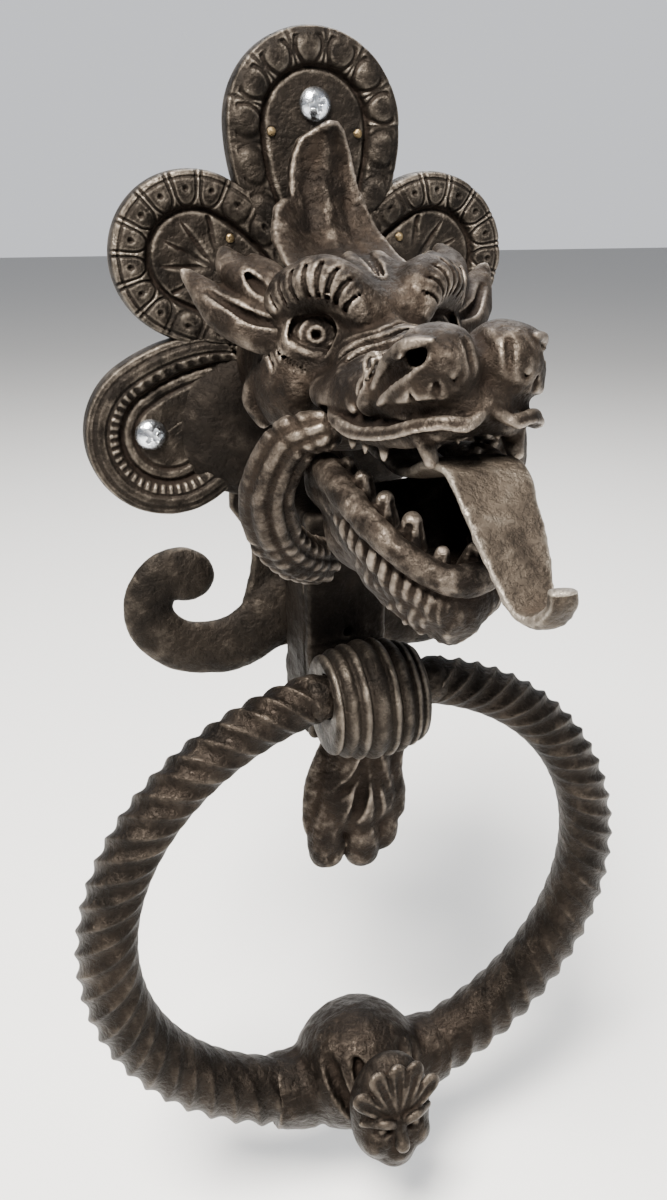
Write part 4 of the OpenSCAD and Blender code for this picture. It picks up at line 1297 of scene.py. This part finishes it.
def boss():
    """The smooth bulb between the halves, with a collar at each side."""
    c = Clay((-30, -26, -171), (30, 26, -117), MEDIUM)
    path = [(RING_R * math.sin(t), 0, -RING_DROP - RING_R * math.cos(t))
            for t in np.radians(np.linspace(-20.3, 20.3, 9))]
    c.strand(path, [11.3] * 9, k=1)
    c.add(ball((0, 0, -145.4), (21.3, 20.8, 20.6)), k=5)
    collar = 17.8
    level = -RING_DROP - RING_R * math.cos(math.asin(collar / RING_R)) + 2
    for side in (-1, 1):
        spot = np.array((side * collar, 0, level))
        c.cut(hoop(spot, (1, 0, side * -0.25), 14.4, 0.9), k=2.4)
    for x, y in ((-9, -13), (-3, -18), (8, -16), (13, -10)):
        c.strand([(x * 1.5, y * 0.6, -131), (x * 1.2, y * 1.15, -139), (x * 0.7, -20, -148)],
                 [0.2, 0.5, 0.2], k=3.5, carve=True)
    carved("ring_bulb", c, RING, "ring_iron", "ring_iron", ("ring_boss",), lump=0.35, lump_size=12,
           seed=40, place=ring_place())


def mask():
    """The small grotesque mask on the bulb: a leaf crown over brows, nose and round cheeks."""
    c = Clay((-15, -14, -24), (15, 14, 24), 0.42, mirrored=False)
    c.add(ball((0, 2, 0), (13.2, 8.6, 18.6)), ball((0, 1, -7), (11.4, 8, 11)), k=3)
    for x, z, lean, long in ((-9.6, 7, 38, 6.4), (-5, 12, 16, 7.2), (0.6, 13.6, 0, 5.4),
                             (5.6, 12, -16, 7.2), (10, 7, -38, 6.4)):
        a = math.radians(lean)
        tip = np.array((x - math.sin(a) * long * 0.5, -4.2, z + math.cos(a) * long * 0.5))
        root = np.array((x * 0.2, -5.4, 1.5))
        c.strand([root, (tip + root) / 2 + (0, -0.8, 0), tip], [1, 2, 2.6], k=1, flat=((0, 1, 0), 1.9))
        c.strand([root + (0, -2, 0), tip + (0, -2.6, 0)], [0.3, 1.2], k=1, carve=True)
    for s in (-1, 1):
        c.strand([(s * 1.2, -6.6, -0.4), (s * 5.4, -7, 1.6), (s * 11.4, -3, 0.4)], [1.1, 1.4, 0.8],
                 k=0.8)
        c.cut(ball((s * 5.6, -6.6, -2.4), (3.2, 2.4, 1.7)), k=0.8)
        c.add(ball((s * 5.4, -4.4, -2.4), 1.9), k=0.4)
        c.add(ball((s * 6.8, -3.6, -7.6), (4.2, 3.8, 4)), k=2.2)
        c.strand([(s * 2, -6.4, -9.6), (s * 4.8, -6, -12.6), (s * 4.4, -4.6, -16)], [0.4, 0.7, 0.4],
                 k=0.8, carve=True)
    c.strand([(0, -6, 1), (0, -7.6, -4), (0, -8.8, -7.2)], [1.1, 1.4, 1.9], k=1.1)
    c.add(ball((0, -4.4, -11.6), (4.6, 4, 3.4)), ball((0, -2.6, -15), (5, 3.8, 3.4)), k=2)
    c.cut(stick((-3, -9.4, -12.9), (3, -9.4, -12.9), 0.7, 0.7), k=0.6)
    c.cut(stick((0, -9.6, -9.6), (0, -9.8, -12.4), 0.5, 0.5), k=0.6)
    tilt = Matrix.Rotation(math.radians(-6), 4, "X")
    spot = Matrix.Translation(Vector((3, -59, -238.5)) * MM)
    carved("mask_forging", c, RING, "ring_iron", "ring_iron", ("mask_knob",), lump=0.1, seed=44,
           place=spot @ tilt)


# ----------------------------------------------------------------- stage

def floor():
    """A pale floor 12 m across, 300 mm below the hinge."""
    half, level = 6 / MM, -300
    corners = [(-half, -half), (half, -half), (half, half), (-half, half)]
    mesh = make_mesh("floor", [(x, y, level) for x, y in corners], [(0, 1, 2, 3)])
    mesh.materials.append(SKIN["pale_floor"])
    ground = bpy.data.objects.new("floor", mesh)
    bpy.context.scene.collection.objects.link(ground)


def backdrop():
    """A cool surround, brighter behind the knocker than in front of it."""
    world = bpy.data.worlds.new("studio")
    bpy.context.scene.world = world
    world.use_nodes = True
    n, link = world.node_tree.nodes, world.node_tree.links.new
    n["Background"].inputs["Color"].default_value = (0.93, 0.95, 1, 1)
    parts = n.new("ShaderNodeSeparateXYZ")
    link(n.new("ShaderNodeTexCoord").outputs["Generated"], parts.inputs[0])
    glow = n.new("ShaderNodeMapRange")
    glow.interpolation_type = "SMOOTHSTEP"
    for label, value in (("From Min", 0.35), ("From Max", 0.85), ("To Min", 0.22), ("To Max", 0.9)):
        glow.inputs[label].default_value = value
    link(parts.outputs["Y"], glow.inputs["Value"])
    link(glow.outputs[0], n["Background"].inputs["Strength"])


def lamp(name, spot, size, power, color):
    """A square lamp at a spot in metres, aimed at the knocker's middle."""
    data = bpy.data.lights.new(name, "AREA")
    data.size, data.energy, data.color = size, power, color
    obj = bpy.data.objects.new(name, data)
    aim = Vector((0, -0.04, -0.08)) - Vector(spot)
    obj.matrix_world = Matrix.Translation(spot) @ aim.to_track_quat("-Z", "Y").to_matrix().to_4x4()
    bpy.context.scene.collection.objects.link(obj)


def camera():
    """One fixed camera in front of the knocker, a little to its left."""
    data = bpy.data.cameras.new("camera")
    data.lens, data.shift_x, data.shift_y = 32.41, -0.0442, -0.0157
    obj = bpy.data.objects.new("camera", data)
    right, up, back = (0.9313, -0.3642, 0.0046), (0.1192, 0.3169, 0.9409), (-0.3442, -0.8757, 0.3385)
    turn = Matrix((right, up, back)).transposed().to_4x4()
    obj.matrix_world = Matrix.Translation((-0.09672, -0.30576, 0.03511)) @ turn
    bpy.context.scene.collection.objects.link(obj)
    bpy.context.scene.camera = obj


def stage():
    """Pale floor, soft light and the camera."""
    floor()
    backdrop()
    lamp("key", (-0.42, -0.55, 0.95), 0.4, 78, (1, 0.95, 0.88))
    lamp("fill", (0.9, -0.6, 0.2), 0.8, 5, (0.95, 0.97, 1))
    lamp("back", (0.3, 0.6, 0.8), 0.6, 14, (1, 1, 1))
    camera()


def head_rivets():
    """The two rivets behind the head keep their plain shape, with a finish."""
    for node in frame["nodes"]:
        if "head_rivets" in node:
            mesh = frame["nodes"][node].data
            mesh.materials.clear()
            mesh.materials.append(SKIN["petal_iron"])


FINE, MEDIUM, COARSE = ((0.52, 0.62, 0.8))

finishes()
plate()
petals()
screws()
rivets()
head_rivets()
head()
ears()
crest()
cheek_folds()
jaw()
tongue()
neck()
ring_eye()
leaf_drop()
ring_halves()
boss()
mask()
stage()
